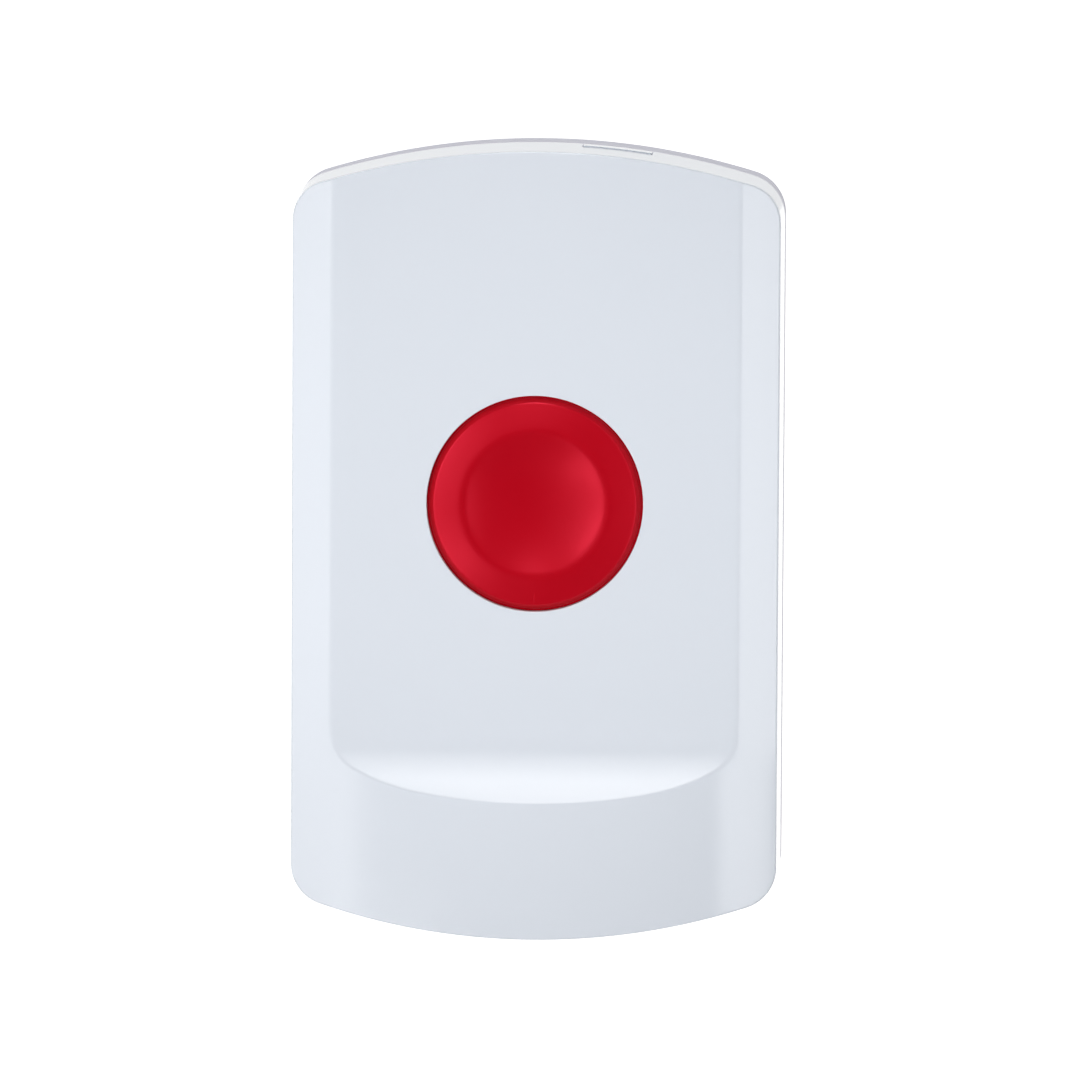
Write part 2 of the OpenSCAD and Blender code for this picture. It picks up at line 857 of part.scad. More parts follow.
rear_base();
release_latch();
front_cover();
button_cap();
button_spring();
circuit_board();
board_screws();
switch_body();
switch_cover();
switch_plunger();
switch_terminals();
indicator_leds();
radio_module_board();
radio_shield();
antenna_coil();
controller_chip();
clock_crystal();
chip_components();
battery_holder();
battery_positive_clip();
battery_negative_contact();
coin_cell();
tamper_switch_body();
tamper_plunger();
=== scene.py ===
import itertools
import json
import math

import bmesh
import bpy
from mathutils import Matrix, Vector
from mathutils.geometry import tessellate_polygon


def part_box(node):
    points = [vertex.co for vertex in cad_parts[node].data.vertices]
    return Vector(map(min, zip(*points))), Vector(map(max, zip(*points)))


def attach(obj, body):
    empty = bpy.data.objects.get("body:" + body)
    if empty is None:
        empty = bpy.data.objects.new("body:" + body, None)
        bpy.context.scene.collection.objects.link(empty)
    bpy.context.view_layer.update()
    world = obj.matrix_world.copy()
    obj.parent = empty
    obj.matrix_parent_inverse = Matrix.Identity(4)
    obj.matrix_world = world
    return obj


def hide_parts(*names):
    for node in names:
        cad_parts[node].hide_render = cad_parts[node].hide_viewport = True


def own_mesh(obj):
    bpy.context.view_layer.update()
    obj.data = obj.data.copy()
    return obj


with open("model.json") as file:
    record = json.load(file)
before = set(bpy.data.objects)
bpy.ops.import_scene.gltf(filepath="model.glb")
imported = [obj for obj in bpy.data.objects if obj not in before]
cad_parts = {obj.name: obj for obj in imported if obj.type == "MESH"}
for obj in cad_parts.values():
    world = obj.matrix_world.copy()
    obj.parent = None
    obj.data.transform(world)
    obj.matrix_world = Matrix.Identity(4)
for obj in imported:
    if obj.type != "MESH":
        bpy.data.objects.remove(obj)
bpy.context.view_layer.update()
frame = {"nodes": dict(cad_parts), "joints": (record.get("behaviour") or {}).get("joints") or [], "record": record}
MM = 0.001
JOINTS = {joint["name"]: joint for joint in frame["joints"]}
WALL_SCREWS = frame["record"]["mounts"][1]["dims"]


def case_box(node):
    """Lowest and highest corners of a node in millimetres, in the case's own axes:
    x to the right, y up the wall, z out from the wall."""
    low, high = (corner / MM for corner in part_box(node))
    return Vector((low.x, low.z, -high.y)), Vector((high.x, high.z, -low.y))


def span(middle, width, gap=0):
    """Ends of a width about its middle, with a gap at each."""
    return middle - width / 2 - gap, middle + width / 2 + gap


def four_spots(middle, x, y):
    """The four places at plus and minus x and y from a middle."""
    return [(middle[0] + sx * x, middle[1] + sy * y) for sx in (-1, 1) for sy in (-1, 1)]


# Case sizes, in millimetres and in the case's own axes
BASE_INSET = 0.2
BASE_HIGH = case_box("rear_base")[1]
CASE_W = 2 * (BASE_HIGH.x + BASE_INSET)
CASE_H = 2 * (BASE_HIGH.y + BASE_INSET)
CASE_D = case_box("front_cover")[1].z
BASE_D = -JOINTS["case_open"]["pos_m"][1] / MM
DRAFT = math.radians(2)
END_R = 81
CORNER_R = 5
LEAST_R = 0.4
FRONT_R = 88
WALL = 1.8
PLATE_T = WALL
EDGE_ROUND = 0.22
RIM_ROUND = 0.12
BACK_ROUND = 0.4

# Front panel, its ramp and the lip
PANEL_W = 44.2
RAMP_R = 11.5
LIP_DROP = 27.9
SHOULDER = 0.2
SHOULDER_X = (3, 19, 27)
SHOULDER_RUN = 4
CREASE = 0.1
PANEL_DROP = FRONT_R - math.sqrt(FRONT_R ** 2 - (PANEL_W / 2) ** 2)
PANEL_Z = CASE_D - PANEL_DROP
RAMP_Y = math.sqrt(RAMP_R ** 2 - (RAMP_R - PANEL_DROP) ** 2) - LIP_DROP

# Button cap and its hole
CAP_LOW, CAP_HIGH = case_box("button_cap")
CAP_R = 11.6
CAP_Y = (CAP_LOW.y + CAP_HIGH.y) / 2
HOLE_R = CAP_R + 0.2
HOLE_ROUND = 0.15
COLLAR_R = HOLE_R + 1.8
COLLAR_Z = PANEL_Z - WALL - 1.2
FLANGE_R = CAP_HIGH.x
FLANGE_T = 1
FLANGE_GAP = 0.2
CREST_Z = CAP_HIGH.z
STEM_Z = CAP_LOW.z
STEM_R = 2
DISH_R = 7.9
DISH_DEPTH = 1.1
CREST_BLEND = 0.2
RING_FALL = 0.65
CAP_WEB = 1.8
CAP_WALL = 1.7
CAP_PLAY = 0.05
CAP_EDGE = 0.5
CAP_ROUND = 0.1
CAP_STEP = 0.17
SPIGOT_R = (4.4, 3.7)
SPIGOT_H = 0.6
GATE_W = 0.16
GATE_L = 1.1
GATE_H = 0.016
GATE_GAP = 0.2

# Lip, latch and hinge tabs between the two shells
LIP_INSET = WALL + 0.15
LIP_T = 1
LIP_H = 1.8
LIP_ROOT = 2
LIP_CHAMFER = 0.3
LIP_STEP = 0.1
LATCH_X = 8.6
LATCH_W = 7.2
LATCH_GAP = 0.25
LATCH_SIDE_GAP = 0.1
LATCH_PROUD = 0.12
LATCH_Z = BASE_D + LATCH_GAP
LATCH_TOP = BASE_D + 3.2
LATCH_IN = WALL + 0.6
LATCH_ARM = 1.2
LATCH_ROOT_Z = PLATE_T + 0.15
ZONE_GAP = 0.5
TAB_X = 12
TAB_W = 8
TAB_T = 1.2
TAB_H = 2.5
TAB_STEP = 0.3
TAB_ROOT = 2.8
NOTCH = span(LATCH_X, LATCH_W, LATCH_GAP)
NOTCH_TOP = LATCH_TOP + LATCH_GAP
LATCH_ZONE = span(LATCH_X, LATCH_W, ZONE_GAP)
TAB_ENDS = [span(side * TAB_X, TAB_W) for side in (-1, 1)]
TAB_ZONES = [span(side * TAB_X, TAB_W, ZONE_GAP) for side in (-1, 1)]

# Base plate: wall screw seats, inner fillet and chamfers
SEAT_Y = WALL_SCREWS["spacing_y_mm"] / 2
SEAT_R = 4.5
SEAT_H = 1.2
WALL_HOLE_R = WALL_SCREWS["hole_r_mm"]
BACK_CHAMFER = 0.3
FILLET = 0.4

# Board and what is fastened to it
BOARD_LOW, BOARD_HIGH = case_box("circuit_board")
BOARD_BACK_Z = BOARD_LOW.z
BOARD_FRONT_Z = BOARD_HIGH.z
BOARD_CORNER_R = 2
SCREW_INSET = 3.5
SCREW_SPOTS = four_spots((0, 0), BOARD_HIGH.x - SCREW_INSET, BOARD_HIGH.y - SCREW_INSET)
SCREW_HOLE_R = 1.2
BOSS_R = 2.5
BOSS_BURY = 0.5
PILOT_R = 0.85
PILOT_DEPTH = 4.8
SPRING_TURNS = 4.5
ANTENNA_TURNS = 7.5
ANTENNA_SPOTS = [(side * 7.5, -29.6) for side in (-1, 1)]
CLIP_HIGH = case_box("battery_positive_clip")[1]
CLIP_FOOT_L = 2
CLIP_T = 0.25
FORK_HALF = 0.6
FORK_ROOT = 2

# Tamper switch
TAMPER_LOW, TAMPER_HIGH = case_box("tamper_plunger")
TAMPER_SPOT = ((TAMPER_LOW.x + TAMPER_HIGH.x) / 2, (TAMPER_LOW.y + TAMPER_HIGH.y) / 2)
TAMPER_HOLE_R = 2.6
TAMPER_FOOT_H = 2.4
TAMPER_ROD_R = 1
TAMPER_PLAY = 0.15
COLLAR_OUT = 1.9
COLLAR_H = 0.3
RIVET_R = 0.42
RIVET_H = 0.18
RIVET_INSET = 0.85
LEG_SPOTS = four_spots(TAMPER_SPOT, 3.5, 1.8)

# Copper runs and pads on the board's back
RUN_W = 0.4
RUN_T = 0.035
RUN_BEND = 1.2
LANE = 0.9
LANE_X = 14
LANE_TOP = 2
PAD_COUNT = 6
PAD_PITCH = 2.54
PAD_X = -12
PAD_Y = -18.5
PAD_R = 0.8
VIA_R = (0.18, 0.45)
COPPER_EDGE = 0.01


# Geometry of the case

def stand(point):
    """A point in case millimetres, in the frame's metres: the front faces -Y."""
    return Vector((point[0], -point[2], point[1])) * MM


def drawn_in(z):
    """How far the draft has drawn the outline in at depth z."""
    return z * math.tan(DRAFT)


def soft_min(a, b, k):
    """The smaller of two heights, with the crease between them rounded over a band of k."""
    h = min(max(0.5 + 0.5 * (b - a) / k, 0), 1)
    return b + (a - b) * h - k * h * (1 - h)


def bezier(p, q, r, steps):
    """Points of a rounded corner from p to r, with the sharp corner at q."""
    points = []
    for i in range(steps + 1):
        t = i / steps
        points.append(tuple((1 - t) ** 2 * a + 2 * t * (1 - t) * b + t * t * c for a, b, c in zip(p, q, r)))
    return points


def between(p, q, share):
    """Point part of the way from p to q."""
    return tuple(a + (b - a) * share for a, b in zip(p, q))


def smooth_step(t):
    """Rise from 0 to 1 that starts and ends level."""
    t = min(max(t, 0), 1)
    return t * t * (3 - 2 * t)


def shoulder(x):
    """How much fuller than a plain arc the front is at its shoulders below the panel."""
    start, crest, end = SHOULDER_X
    if abs(x) < crest:
        return SHOULDER * smooth_step((abs(x) - start) / (crest - start))
    return SHOULDER * max(1 - ((abs(x) - crest) / (end - crest)) ** 2, 0)


def crown_height(x, y, inset=0):
    """Depth of the convex front, before the panel and its ramp are cut."""
    fuller = shoulder(x) * smooth_step((RAMP_Y - y) / SHOULDER_RUN)
    return CASE_D - FRONT_R + math.sqrt((FRONT_R - inset) ** 2 - x * x) + fuller


def ramp_height(y, inset=0):
    """Depth of the panel and of the concave ramp at its foot."""
    below = max(RAMP_Y - y, 0)
    return PANEL_Z + RAMP_R - math.sqrt(max((RAMP_R + inset) ** 2 - below ** 2, 0))


def lip_y(x, halvings=40):
    """Height on the wall of the lip's crest, where the ramp meets the convex front."""
    low = RAMP_Y - RAMP_R
    high = RAMP_Y
    for _ in range(halvings):
        y = (low + high) / 2
        if ramp_height(y) > crown_height(x, y):
            low = y
        else:
            high = y
    return high


def front_height(x, y, inset=0):
    """Depth of the front skin: a convex front, cut by the flat panel and its ramp."""
    return soft_min(crown_height(x, y, inset), ramp_height(y, inset), CREASE)


def front_normal(x, y, step=0.02):
    """Direction that the front skin faces at a point, in the frame's axes."""
    slope_x = (front_height(x + step, y) - front_height(x - step, y)) / (2 * step)
    slope_y = (front_height(x, y + step) - front_height(x, y - step)) / (2 * step)
    return Vector((-slope_x, -1, -slope_y)).normalized()


# A station is a place along the case's outline, as (kind, x sign, y sign, share of its stretch)
CORNER_X = CASE_W / 2 - CORNER_R
END_Y = CASE_H / 2 - END_R
CORNER_Y = END_Y + math.sqrt((END_R - CORNER_R) ** 2 - CORNER_X ** 2)
LEAN = math.atan2(CORNER_Y - END_Y, CORNER_X)
END_SWEEP = math.pi / 2 - LEAN
CORNER_STEPS = 20
SIDE_STEPS = 36


def outline_point(station, inset):
    """Point of the outline, drawn in by inset, at a station."""
    kind, sx, sy, share = station
    if kind == "side":
        return sx * (CASE_W / 2 - inset), share * CORNER_Y
    if kind == "corner":
        r = max(CORNER_R - inset, LEAST_R)
        turn = share * LEAN
        return sx * (CORNER_X + r * math.cos(turn)), sy * (CORNER_Y + r * math.sin(turn))
    r = END_R - inset
    turn = share * END_SWEEP
    return r * math.sin(turn), sy * (END_Y + r * math.cos(turn))


def end_share(x):
    """Share of an arched end at which the outline has this x."""
    return math.asin(x / END_R) / END_SWEEP


def end_places(sy, low, high, count):
    """Stations along an arched end between two x."""
    return [("end", 0, sy, end_share(low + (high - low) * i / count)) for i in range(count + 1)]


def end_shares(stops, count=44):
    """Even shares along an arched end, with the stops among them."""
    fixed = [end_share(x) for x in stops]
    even = [2 * i / count - 1 for i in range(count + 1)]
    least = 0.4 / count
    kept = [s for s in even if all(abs(s - f) > least for f in fixed)]
    return sorted(kept + fixed)


def make_stations():
    """Stations all round the case, anticlockwise from the foot of the right side."""
    corner = [i / CORNER_STEPS for i in range(CORNER_STEPS)]
    side = [2 * i / SIDE_STEPS - 1 for i in range(SIDE_STEPS)]
    found = []
    for sign, zones in ((1, [NOTCH, LATCH_ZONE]), (-1, TAB_ZONES)):
        end = end_shares([x for zone in zones for x in zone])
        found += [("side", sign, 0, sign * s) for s in side]
        found += [("corner", sign, sign, s) for s in corner]
        found += [("end", 0, sign, s) for s in end[::-sign]]
        found += [("corner", -sign, sign, 1 - s) for s in corner[1:]]
    return found


STATIONS = make_stations()


def within(station, sy, low, high, slack=1e-6):
    """Whether a station lies on one arched end between two x."""
    return (station[0] == "end" and station[2] == sy
            and end_share(low) - slack <= station[3] <= end_share(high) + slack)


class Shape:
    """A mesh being made, in case millimetres."""

    def __init__(self):
        self.points = []
        self.faces = []

    def ring(self, points):
        start = len(self.points)
        self.points.extend(points)
        return list(range(start, len(self.points)))

    def level(self, inset, z):
        """Ring of the outline at depth z, drawn in by inset and the draft."""
        return self.ring([(*outline_point(s, inset + drawn_in(z)), z) for s in STATIONS])

    def circle(self, centre, r, z, steps):
        turns = [2 * math.pi * i / steps for i in range(steps)]
        return self.ring([(centre[0] + r * math.cos(t), centre[1] + r * math.sin(t), z) for t in turns])

    def bridge(self, a, b, closed=True, keep=None):
        """Quads between two rings of as many points, apart from those that keep refuses."""
        count = len(a)
        for i in range(count if closed else count - 1):
            j = (i + 1) % count
            if keep is None or keep(i, j):
                self.faces.append((a[i], a[j], b[j], b[i]))

    def bridge_all(self, rings):
        for a, b in zip(rings, rings[1:]):
            self.bridge(a, b)

    def bar(self, rings):
        """Bar through rings, with flat ends."""
        self.bridge_all(rings)
        self.faces += [tuple(rings[0]), tuple(rings[-1])]

    def lid(self, *loops):
        """Flat face inside the first loop, with the other loops as holes."""
        order = [i for loop in loops for i in loop]
        flat = [[Vector(self.points[i]) for i in loop] for loop in loops]
        for triangle in tessellate_polygon(flat):
            self.faces.append(tuple(order[k] for k in triangle))

    def turned(self, profile, centre, steps=48):
        """Turned wall of a profile of (radius, z) points, open at its ends. Returns its rings."""
        rings = [self.circle(centre, r, z, steps) for r, z in profile]
        self.bridge_all(rings)
        return rings

    def lathe(self, profile, centre=(0, 0), steps=96, loop=False):
        """Turned solid of a profile of (radius, z) points; a closed profile has loop set."""
        rings = []
        for r, z in profile:
            rings.append(self.circle(centre, r, z, steps) if r > 0 else self.ring([(*centre, z)]))
        for a, b in zip(rings, rings[1:] + rings[:1] if loop else rings[1:]):
            if len(a) == 1 or len(b) == 1:
                pole, rim = (a[0], b) if len(a) == 1 else (b[0], a)
                self.faces.extend((pole, rim[i], rim[(i + 1) % steps]) for i in range(steps))
            else:
                self.bridge(a, b)

    def sweep(self, stations, profile):
        """Bar along the outline, with a profile of (inset, z) points."""
        self.bar([self.ring([(*outline_point(s, inset + drawn_in(z)), z) for inset, z in profile])
                  for s in stations])

    def tube(self, path, r, sides=14):
        """Round wire along a path of points."""
        turns = [2 * math.pi * k / sides for k in range(sides)]
        rings = []
        side = None
        for i, p in enumerate(path):
            heading = (path[min(i + 1, len(path) - 1)] - path[max(i - 1, 0)]).normalized()
            if side is None:
                side = heading.orthogonal().normalized()
            side = (side - heading * side.dot(heading)).normalized()
            other = heading.cross(side)
            spokes = [math.cos(t) * side + math.sin(t) * other for t in turns]
            rings.append(self.ring([tuple(p + r * spoke) for spoke in spokes]))
        self.bar(rings)

    def bmesh(self):
        bm = bmesh.new()
        verts = [bm.verts.new(p) for p in self.points]
        for face in self.faces:
            bm.faces.new([verts[i] for i in face])
        bmesh.ops.recalc_face_normals(bm, faces=bm.faces)
        return bm


def mesh_from(bm, name, sharp=32):
    """Mesh in the frame's metres, smooth apart from edges sharper than an angle in degrees."""
    for v in bm.verts:
        v.co = stand(v.co)
    bmesh.ops.recalc_face_normals(bm, faces=bm.faces)
    mesh = bpy.data.meshes.new(name)
    bm.to_mesh(mesh)
    bm.free()
    mesh.shade_smooth()
    mesh.set_sharp_from_angle(angle=math.radians(sharp))
    return mesh


def add_object(name, data):
    """New object in the scene."""
    made = bpy.data.objects.new(name, data)
    bpy.context.scene.collection.objects.link(made)
    return made


def piece(name, mesh, slot, node=None, body="front", look=None):
    """A new piece that rides on a body, and stands for a CAD node if one is named.
    It has its slot's material, unless another look is named."""
    mesh.materials.append(MATERIALS[look or slot])
    made = add_object(name, mesh)
    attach(made, body)
    if node:
        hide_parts(node)
    return made


def make(shape, name, *where, sharp=32, **look):
    """Turns a shape into a piece."""
    return piece(name, mesh_from(shape.bmesh(), name, sharp), *where, **look)


def soften(made, width, segments=2, angle=35):
    """Rounds the edges of a piece or node that are sharper than an angle in degrees."""
    weld = made.modifiers.new("weld", "WELD")
    weld.merge_threshold = 0.001 * MM
    bevel = made.modifiers.new("bevel", "BEVEL")
    bevel.width = width * MM
    bevel.segments = segments
    bevel.limit_method = "ANGLE"
    bevel.angle_limit = math.radians(angle)
    bevel.harden_normals = True


# Materials

MATERIALS = {}
NOISE_SPAN = (0.3, 0.7)
DRIFT = 14
PATCHES = 3
BOARD_DRIFT = 6
BOARD_PATCHES = 1.5
BOARD_ROUGH = (0.3, 0.38)


class Graph:
    """Shader nodes of a material, a world or a lamp."""

    def __init__(self, owner):
        owner.use_nodes = True
        self.nodes = owner.node_tree.nodes
        self.links = owner.node_tree.links

    def set(self, node, inputs):
        """Gives each named input of a node a value or another node's output."""
        for name, value in inputs.items():
            socket = node.inputs[name]
            if isinstance(value, bpy.types.NodeSocket):
                self.links.new(value, socket)
            else:
                socket.default_value = (*value, 1) if socket.type == "RGBA" else value

    def add(self, kind, inputs=None, **settings):
        """New node with these settings and inputs. Returns its outputs."""
        node = self.nodes.new("ShaderNode" + kind)
        for name, value in settings.items():
            setattr(node, name, value)
        self.set(node, inputs or {})
        return node.outputs

    def maths(self, operation, first, second):
        return self.add("Math", {0: first, 1: second}, operation=operation)["Value"]

    def highest(self, *values):
        """The greatest of several values."""
        found = values[0]
        for value in values[1:]:
            found = self.maths("MAXIMUM", found, value)
        return found

    def remap(self, value, source, target):
        """Maps a value from one range onto another."""
        return self.add("MapRange", {"Value": value, "From Min": source[0], "From Max": source[1],
                                     "To Min": target[0], "To Max": target[1]})["Result"]

    def noise(self, place, size, detail=3.0, stretch=None):
        """Noise with features of about size millimetres, stretched along an axis where asked."""
        if stretch:
            place = self.add("Mapping", {"Vector": place, "Scale": stretch})["Vector"]
        return self.add("TexNoise", {"Vector": place, "Scale": 1 / (size * MM), "Detail": detail})["Fac"]

    def mix(self, value, first, second):
        """Colour between two."""
        return self.add("Mix", {"Factor": value, "A": first, "B": second}, data_type="RGBA")["Result"]

    def bump(self, height, depth, strength):
        """Bump of a depth in millimetres."""
        return self.add("Bump", {"Height": height, "Distance": depth * MM, "Strength": strength})["Normal"]


def new_material(name):
    """Adds a material. Returns its graph and its shader."""
    MATERIALS[name] = bpy.data.materials.new(name)
    graph = Graph(MATERIALS[name])
    return graph, graph.nodes["Principled BSDF"]


def plastic(name, colour, shade, rough, grain, depth, strength, ior=1.5, specular=0.5, tint=(1, 1, 1)):
    """Moulded plastic: a faint drift of tone, uneven gloss and a moulded surface of a given grain."""
    graph, shader = new_material(name)
    place = graph.add("TexCoord")["Object"]
    graph.set(shader, {"Base Color": graph.mix(graph.noise(place, DRIFT), colour, shade),
                       "Roughness": graph.remap(graph.noise(place, PATCHES), NOISE_SPAN, rough),
                       "Normal": graph.bump(graph.noise(place, grain, 2.0), depth, strength),
                       "IOR": ior, "Specular IOR Level": specular, "Specular Tint": tint})


def metal(name, colour, shade, rough, stretch=(1, 1, 1), grain=0.15, depth=0.004, strength=0.2):
    """Metal with a drawn or rolled grain along the stretch."""
    graph, shader = new_material(name)
    streaks = graph.noise(graph.add("TexCoord")["Object"], grain, stretch=stretch)
    graph.set(shader, {"Base Color": graph.mix(streaks, colour, shade),
                       "Roughness": graph.remap(streaks, NOISE_SPAN, rough),
                       "Normal": graph.bump(streaks, depth, strength),
                       "Metallic": 1})


def lacquer(name, colour, shade, pitch=0.5, depth=0.01, strength=0.3):
    """Board lacquer, with the weave of the glass cloth showing through a little."""
    graph, shader = new_material(name)
    place = graph.add("TexCoord")["Object"]
    wave = {"Vector": place, "Scale": 1 / (pitch * MM) / math.pi / 2, "Distortion": 0.4}
    threads = [graph.add("TexWave", wave, bands_direction=direction)["Fac"] for direction in ("X", "Z")]
    graph.set(shader, {"Base Color": graph.mix(graph.noise(place, BOARD_DRIFT), colour, shade),
                       "Roughness": graph.remap(graph.noise(place, BOARD_PATCHES), NOISE_SPAN, BOARD_ROUGH),
                       "Normal": graph.bump(graph.maths("MULTIPLY", *threads), depth, strength)})


plastic("gloss_white", (0.735, 0.775, 0.84), (0.725, 0.768, 0.835),
        rough=(0.1, 0.12), grain=4, depth=0.02, strength=0.03)
# Rear base: a matte plastic, darker and more violet than the cover; its darkness is partly painted shade of the
# band along the parting line
plastic("base_white", (0.6, 0.6, 0.69), (0.58, 0.58, 0.67),
        rough=(0.42, 0.52), grain=0.25, depth=0.03, strength=0.5)
plastic("button_red", (0.52, 0.0005, 0.008), (0.5, 0.0005, 0.0075),
        rough=(0.28, 0.31), grain=0.6, depth=0.01, strength=0.15, ior=1.9, specular=0.9, tint=(1, 0.07, 0.13))
plastic("dark_plastic", (0.03, 0.03, 0.034), (0.024, 0.024, 0.028),
        rough=(0.42, 0.55), grain=0.3, depth=0.03, strength=0.5)
plastic("lamp_clear", (0.85, 0.82, 0.68), (0.8, 0.77, 0.62),
        rough=(0.1, 0.18), grain=0.6, depth=0.01, strength=0.2)
plastic("ceramic_brown", (0.34, 0.24, 0.15), (0.28, 0.19, 0.12),
        rough=(0.4, 0.55), grain=0.2, depth=0.02, strength=0.4)
plastic("plunger_white", (0.8, 0.8, 0.77), (0.76, 0.76, 0.73),
        rough=(0.35, 0.45), grain=0.4, depth=0.02, strength=0.3)
metal("spring_steel", (0.62, 0.63, 0.65), (0.55, 0.56, 0.58), rough=(0.28, 0.36))
metal("screw_steel", (0.68, 0.69, 0.71), (0.6, 0.61, 0.64), rough=(0.29, 0.38))
metal("tinned_metal", (0.72, 0.72, 0.73), (0.66, 0.66, 0.68), rough=(0.29, 0.4), stretch=(1, 1, 6))
metal("gold_metal", (0.8, 0.6, 0.3), (0.74, 0.54, 0.25), rough=(0.28, 0.36), stretch=(1, 1, 6))
metal("cell_steel", (0.74, 0.75, 0.76), (0.69, 0.7, 0.72), rough=(0.28, 0.35), stretch=(6, 1, 1))
lacquer("board_green", (0.012, 0.13, 0.055), (0.01, 0.115, 0.048))
lacquer("board_runs", (0.035, 0.23, 0.09), (0.03, 0.21, 0.08))
lacquer("module_blue", (0.015, 0.06, 0.17), (0.012, 0.05, 0.15))


# Front cover: rows of its skin, and lines along its creases where more edges are cut in
SIDE_ROWS = (0.4, 0.75)
SIDE_MARGIN = 0.1
SKIN_STEPS = (0.35, 0.6, 1.1, 1.8, 2.7, 3.6)
SKIN_ROWS = 16
INNER_STEP = 1.2
INNER_ROWS = (0.75, 0.5, 0.25, 0)
ON_SKIN = 0.99
PANEL_LINES = (-3, -2.2, -1.6, -1.1, -0.8, -0.5, -0.3, -0.15, -0.05, 0, 0.15, 0.3, 0.5)
PANEL_REACH = 6
PANEL_FOOT = 8
LIP_LINES = (-0.6, -0.3, -0.16, -0.08, 0, 0.08, 0.16, 0.3, 0.6, 1.2, 1.8, 2.6, 3.6, 4.8)
LIP_REACH = 9
LIP_TRIM = 0.02


def edge_depth(station, rounds=6):
    """Depth at which the side wall meets the front skin at a station."""
    z = PANEL_Z
    for _ in range(rounds):
        z = front_height(*outline_point(station, drawn_in(z)))
    return z


def cover_skin(shape):
    """The cover's shell, as rings from its rim over the front, through the hole and back inside.
    Returns the points of the front skin."""
    edges = [edge_depth(s) for s in STATIONS]

    def side(inset, depths):
        return [(*outline_point(s, inset + drawn_in(z)), z) for s, z in zip(STATIONS, depths)]

    def front(step, inset=0):
        points = []
        for s, z in zip(STATIONS, edges):
            x, y = outline_point(s, drawn_in(z) + step)
            points.append((x, y, front_height(x, y, inset)))
        return points

    def about_axis(x, y, r):
        """Place on a circle about the cap's axis, in line with a point."""
        turn = math.atan2(y - CAP_Y, x)
        return r * math.cos(turn), CAP_Y + r * math.sin(turn)

    def towards_hole(start, r, share, inset=0):
        """Points between a ring of the outline and a circle about the cap's axis."""
        spots = [between((x, y), about_axis(x, y, r), share) for x, y, _ in start]
        return [(*spot, front_height(*spot, inset)) for spot in spots]

    # Side wall and its rounded front edge
    rim_out = shape.level(RIM_ROUND, BASE_D)
    low = shape.level(0, BASE_D + RIM_ROUND)
    notch_out = shape.level(0, NOTCH_TOP)
    tops = [z - EDGE_ROUND for z in edges]
    walls = [side(0, [NOTCH_TOP + share * (top - NOTCH_TOP) for top in tops]) for share in SIDE_ROWS]
    walls.append(side(0, [top - SIDE_MARGIN for top in tops]))
    corners = zip(side(0, tops), side(0, edges), front(EDGE_ROUND))
    walls += zip(*[bezier(p, q, r, 6) for p, q, r in corners])
    rows = [notch_out, *map(shape.ring, walls)]

    # Front skin
    inner_most = front(SKIN_STEPS[-1])
    hole_edge = HOLE_R + HOLE_ROUND
    skin_rows = [front(step) for step in SKIN_STEPS]
    skin_rows += [towards_hole(inner_most, hole_edge, i / SKIN_ROWS) for i in range(1, SKIN_ROWS + 1)]
    skin = [rows[-1], *map(shape.ring, skin_rows)]
    rows += skin[1:]

    # Hole edge, hole wall and collar
    hole = bezier((hole_edge, PANEL_Z), (HOLE_R, PANEL_Z), (HOLE_R, PANEL_Z - HOLE_ROUND), 4)
    for r, z in [*hole[1:], (HOLE_R, COLLAR_Z), (COLLAR_R, COLLAR_Z), (COLLAR_R, PANEL_Z - WALL)]:
        rows.append(shape.ring([(*about_axis(x, y, r), z) for x, y, _ in inner_most]))

    # Inner skin, out to the inner side walls
    inner_edges = [front_height(*outline_point(s, WALL + drawn_in(z)), WALL) for s, z in zip(STATIONS, edges)]
    inside = front(WALL + INNER_STEP, WALL)
    for share in INNER_ROWS:
        rows.append(shape.ring(towards_hole(inside, COLLAR_R, share, WALL)))
    rows.append(shape.ring(side(WALL, inner_edges)))
    notch_in = shape.level(WALL, NOTCH_TOP)
    rim_in = shape.level(WALL, BASE_D)
    rows.append(notch_in)
    shape.bridge_all(rows)

    # Rim, open at the latch's notch
    inside_notch = [i for i, s in enumerate(STATIONS) if within(s, 1, *NOTCH)]

    def outside_notch(i, j):
        return not (i in inside_notch and j in inside_notch)

    for a, b in ((low, notch_out), (rim_out, low), (rim_in, rim_out), (notch_in, rim_in)):
        shape.bridge(a, b, keep=outside_notch)
    shape.bridge([notch_out[i] for i in inside_notch], [notch_in[i] for i in inside_notch], closed=False)
    for i in (inside_notch[0], inside_notch[-1]):
        shape.faces.append((rim_out[i], low[i], notch_out[i], notch_in[i], rim_in[i]))
    return [i for ring in skin for i in ring]


def cover_fittings(shape):
    """Screw bosses and hinge tabs inside the cover."""
    foot = BOARD_FRONT_Z
    floor = foot + PILOT_DEPTH
    for x, y in SCREW_SPOTS:
        top = front_height(abs(x) + BOSS_R, y, WALL) + BOSS_BURY
        profile = [(0, top), (BOSS_R, top), (BOSS_R, foot), (PILOT_R, foot), (PILOT_R, floor), (0, floor)]
        shape.lathe(profile, (x, y), 40)
    low = BASE_D - TAB_H
    step = BASE_D + TAB_STEP
    high = BASE_D + TAB_ROOT
    profile = [(LIP_INSET, low), (LIP_INSET, step), (WALL / 2, step), (WALL / 2, high),
               (LIP_INSET + TAB_T, high), (LIP_INSET + TAB_T, low)]
    for ends in TAB_ENDS:
        shape.sweep(end_places(-1, *ends, 8), profile)


